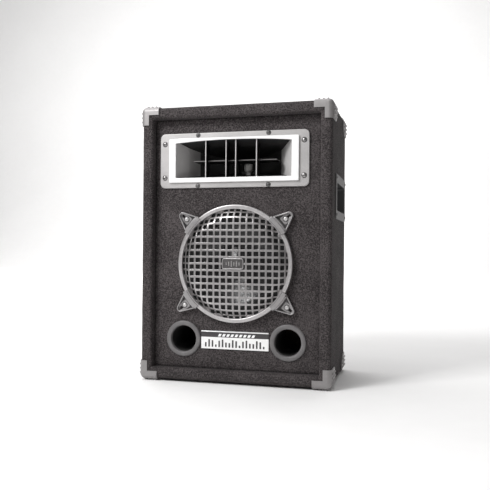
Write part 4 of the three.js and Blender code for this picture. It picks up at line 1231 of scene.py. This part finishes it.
# ---------------------------------------------------------------- ports, nameplate, handles
def make_ports():
    """A round flange on the baffle with a dark tube behind it, at each side."""
    bore, wall, lap = 22.9, 25.2, 4  # the flange reaches `lap` back into the baffle
    for side, middle in PORTS.items():
        low, high = span("bass_port_" + side)
        front = low.y
        shape = Shape()
        shape.turned([(bore - 0.3, SEAT + lap), (bore, SEAT), (23.6, front + 0.9), (24.8, front + 0.25),
                      (26.4, front), (29.0, front + 0.15), (30.4, front + 0.6), (31.2, front + 1.4),
                      (31.5, front + 2.4), (31.5, SEAT), (wall + 0.2, SEAT), (wall, SEAT + lap)],
                     middle.x, middle.z)
        shape.slot = 1
        start = SEAT + lap - 0.2
        tube = [(bore, start), (wall - 0.2, start), (wall - 0.2, high.y), (bore + 0.1, high.y)]
        shape.turned(tube, middle.x, middle.z, 64)
        finish = ["grey_plastic", "bore_black"]
        shape.piece("port_" + side, finish, "grey_plastic", replaces=["bass_port_" + side])


def make_nameplate():
    """A white part with plain upright bars, a dark strip with slanted dashes and a bright line above it."""
    low, high = span("nameplate")
    width, split, ridge, front = high.x - low.x, low.z + 20.4, high.z - 2.0, SEAT - 1.8
    shape = Shape()
    for slot, z0, z1, y, edge in ((0, low.z, split, front, 0.4), (1, split, ridge, front + 0.3, 0.3),
                                  (2, ridge, high.z, low.y, 0.8)):
        shape.slot = slot
        shape.plate(rounded(width, z1 - z0, 0.6, PLATE.x, (z0 + z1) / 2), y, SEAT, edge=edge)
    shape.slot = 1
    bars, foot = 18, low.z + 3.4
    for i in range(bars):
        x = PLATE.x + width * 0.86 * (i / (bars - 1) - 0.5)
        tall = 4.0 + 9.5 * abs(math.sin(i * 0.9 + 0.4))
        bar = rounded(2.9, tall, 0.8, x, foot + tall / 2, 3)
        shape.plate(bar, front - 0.25, front + 0.2, edge=0.15, steps=1)
    shape.slot = 2
    for i in range(9):
        x, z, long, tall, slant = PLATE.x - 30 + 7.5 * i, split + 1.4, 4.6, 4.6, 2.4
        dash = [(x, z), (x + long, z), (x + long + slant, z + tall), (x + slant, z + tall)]
        shape.plate(dash, front - 0.35, front + 0.4, edge=0.2, steps=1)
    # the bright line is the same chrome, its reflection painted in
    finish = ["nameplate_white", "nameplate_dark", "chrome"]
    shape.piece("front_plate", finish, "nameplate", replaces=["nameplate"])


HANDLE = {"width": 144, "height": 78, "mouth": (118, 48), "wall": 2.5, "lift": 5.5, "rise": 11.0}


def handle_shape():
    """A recessed grip that faces -Y, its frame lying on the plane y = 0."""
    (width, height), wall, lift, rise = HANDLE["mouth"], HANDLE["wall"], HANDLE["lift"], HANDLE["rise"]
    shape = Shape()
    outline = rounded(HANDLE["width"], HANDLE["height"], 6)
    shape.plate(outline, -2.3, -0.3, [rounded(width, height, 5)], edge=1.2, steps=4)
    # the pocket gets a near-black painted shade, darker than its frame
    shape.slot = 1
    # (width, height, corner radius, y, how far up); behind its mouth the pocket widens upwards
    inner = [(width, height, 5, -1.6, 0), (114, 47.6, 5, 2, 0), (92, 46, 5, 20, 0), (73, 45, 4, 20.6, 0),
             (71, 45 + rise, 4, 21.5, lift), (71, 45 + rise, 4, 29.5, lift), (68, 42 + rise, 3, 30.0, lift)]
    outer = [(width + 2 * wall, height + 2 * wall, 6, -1.0, 0), (97, 51, 6, 17.5, 0),
             (76, 50 + rise, 5, 18.8, lift), (76, 50 + rise, 5, 32.5, lift)]
    shape.skin([[(x, y, z + up) for x, z in rounded(wide, tall, radius)]
                for wide, tall, radius, y, up in inner[::-1] + outer])
    for i in range(5):  # grip ridges on the floor of the pocket
        shape.plate(rounded(52, 1.6, 0.75, 0, 7 * i - 14, 4), 29.2, 30.4, edge=0.35, steps=2)
    return shape


def make_handles():
    source = handle_shape()
    for side, sign, facing in (("left", -1, TO_LEFT), ("right", 1, TO_RIGHT)):
        node = "carry_handle_" + side
        place = Vector((sign * HALF.x, centre(node).y, span(node)[0].z + HANDLE["height"] / 2))
        shape = Shape()
        shape.copied(source, Matrix.Translation(place) @ facing)
        finish = ["handle_plastic", "black_plastic"]
        shape.piece("handle_" + side, finish, "black_plastic", replaces=[node])
        places = [place + facing @ Vector((x, -2.2, up)) for x in (-65, 65) for up in (-31.5, 31.5)]
        make_screws("screws_handle_" + side, places, facing, 3.0, "dark_steel")


# ---------------------------------------------------------------- rear input
def copy_of(node, name, finish, body, bevel):
    """A CAD node's own shape with its sharp edges rounded."""
    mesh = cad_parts[node].data.copy()
    mesh.materials.clear()
    mesh.materials.append(FINISHES[finish])
    edited(mesh, weld, join_flat_faces)
    if mesh.has_custom_normals:
        mesh.normals_split_custom_set([(0, 0, 0)] * len(mesh.loops))
    finished(name, mesh, body, [node], bevel)


def make_terminals():
    """The terminal cup and its two push levers."""
    copy_of("terminal_cup", "rear_cup", "black_plastic", "cabinet", 0.5)
    copy_of("push_lever_red", "lever_red", "red_plastic", "red_lever", 0.45)
    copy_of("push_lever_black", "lever_black", "handle_plastic", "black_lever", 0.45)


def make_jack():
    """The jack's body and sleeve, held by a washer and a six-sided nut."""
    low, high = span("input_jack")
    x, z = (low.x + high.x) / 2, (low.z + high.z) / 2
    face, back, bore, sleeve, body, shoulder = high.y, low.y, 3.3, 5.3, 9, 7.3
    shape = Shape()
    shape.turned([(bore, face + 0.2), (4.6, face + 0.2), (sleeve, face - 0.6), (sleeve, face - shoulder),
                  (body, face - shoulder), (body, back), (bore, back)], x, z, 48)
    shape.slot = 1
    shape.turned([(5.4, face - 3.4), (7.9, face - 3.4), (8.0, face - 4.2), (5.4, face - 4.2)], x, z, 48)
    nut = Shape()  # made facing -Y and turned to face +Y by mirroring
    nut.plate(circle(7.6, 6, x, z), 0.6 - face, 3.4 - face, [circle(5.4, 40, x, z)], edge=0.5)
    shape.copied(nut, Matrix.Diagonal((1, -1, 1, 1)))
    shape.piece("jack", ["black_plastic", "plated_steel"], "black_plastic", replaces=["input_jack"])


def make_rear_screws():
    """The screws of the terminal cup and of the back panel."""
    across, up, sunk = 52, 37, 1.1  # the heads are sunk a little into the cup's flange
    make_screws("screws_cup", four(CUP, across, up, CUP_HIGH.y - sunk), TO_BACK, 2.7, "dark_steel")
    low, high = span("back_carpet")
    inset, down, y = 11.0, 148, high.y + 0.1
    left, right = low.x + inset, high.x - inset
    places = [Vector((x, y, z)) for x in (left, 0.0, right) for z in (low.z + inset, high.z - inset)]
    places += [Vector((x, y, z)) for x in (left, right) for z in (low.z + down, high.z - down)]
    make_screws("screws_back", places, TO_BACK, 3.4, "dark_steel")


# ---------------------------------------------------------------- inside
def make_wadding():
    """A loose pad of fibre against the back panel: a front and a back sheet that meet at their edge."""
    middle = centre("damping_wadding")
    half = span("damping_wadding")[1] - middle
    steps, drawn_in = 44, 0.985
    levels = [-1 + 2 * i / steps for i in range(steps + 1)]
    front, back = [], []
    for v in levels:
        for u in levels:
            edge = min(1 - abs(u), 1 - abs(v))
            thick = half.y * min(1.0, math.sqrt(max(0.0, edge) * 7))
            x, z = middle.x + u * half.x * drawn_in, middle.z + v * half.z * drawn_in
            wobble = 2.2 * noise.noise(Vector((x, 3, z)) * 0.045) + 0.8 * noise.noise(Vector((x, 9, z)) * 0.2)
            front.append((x, middle.y - max(0.0, thick - 1.5 + wobble), z))
            back.append((x, middle.y + thick * 0.95, z))
    count, total = steps + 1, (steps + 1) ** 2
    faces = []
    for a in (row * count + column for row in range(steps) for column in range(steps)):
        quad = (a, a + 1, a + count + 1, a + count)
        faces += [quad, tuple(total + i for i in reversed(quad))]
    rim = list(range(count)) + [(row + 1) * count - 1 for row in range(1, count)]
    rim += [total - 1 - i for i in range(1, count)] + [row * count for row in range(count - 2, 0, -1)]
    faces += [(a, b, b + total, a + total) for a, b in zip(rim, rim[1:] + rim[:1])]
    shape = Shape()
    shape.add(front + back, faces)
    piece = shape.piece("wadding_pad", ["wadding"], "wadding", replaces=["damping_wadding"])


KEPT = {
    "board": ["top_panel", "bottom_panel", "left_side_panel", "right_side_panel", "back_panel",
              "front_baffle"],
    "painted_steel": ["woofer_basket"],
    "plated_steel": ["magnet_top_plate", "pole_piece"],
    "ferrite": ["magnet_ring"],
    "copper_winding": ["voice_coil", "crossover_coil"],
    "cone_paper": ["horn_diaphragm"],
    "black_plastic": ["horn_driver_housing"],
    "circuit_board": ["crossover_board"],
    "capacitor_film": ["crossover_capacitor"],
    "lead_jacket": ["input_lead", "woofer_lead", "horn_lead"],
}


def dress_kept_nodes():
    """Inner pieces keep their CAD shape and get the same finishes as the rest."""
    for finish, nodes in KEPT.items():
        for node in nodes:
            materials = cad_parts[node].data.materials
            materials.clear()
            materials.append(FINISHES[finish])


make_finishes()
for make in (make_camera, make_studio, make_floor, make_carpets, make_protectors, make_horn, make_bezel,
             make_vanes, make_lamp, make_horn_screws, make_cone, make_surround, make_spider, make_grille,
             make_ring, make_clamps, make_badge, make_ports, make_nameplate, make_handles,
             make_terminals, make_jack, make_rear_screws, make_wadding, dress_kept_nodes):
    make()
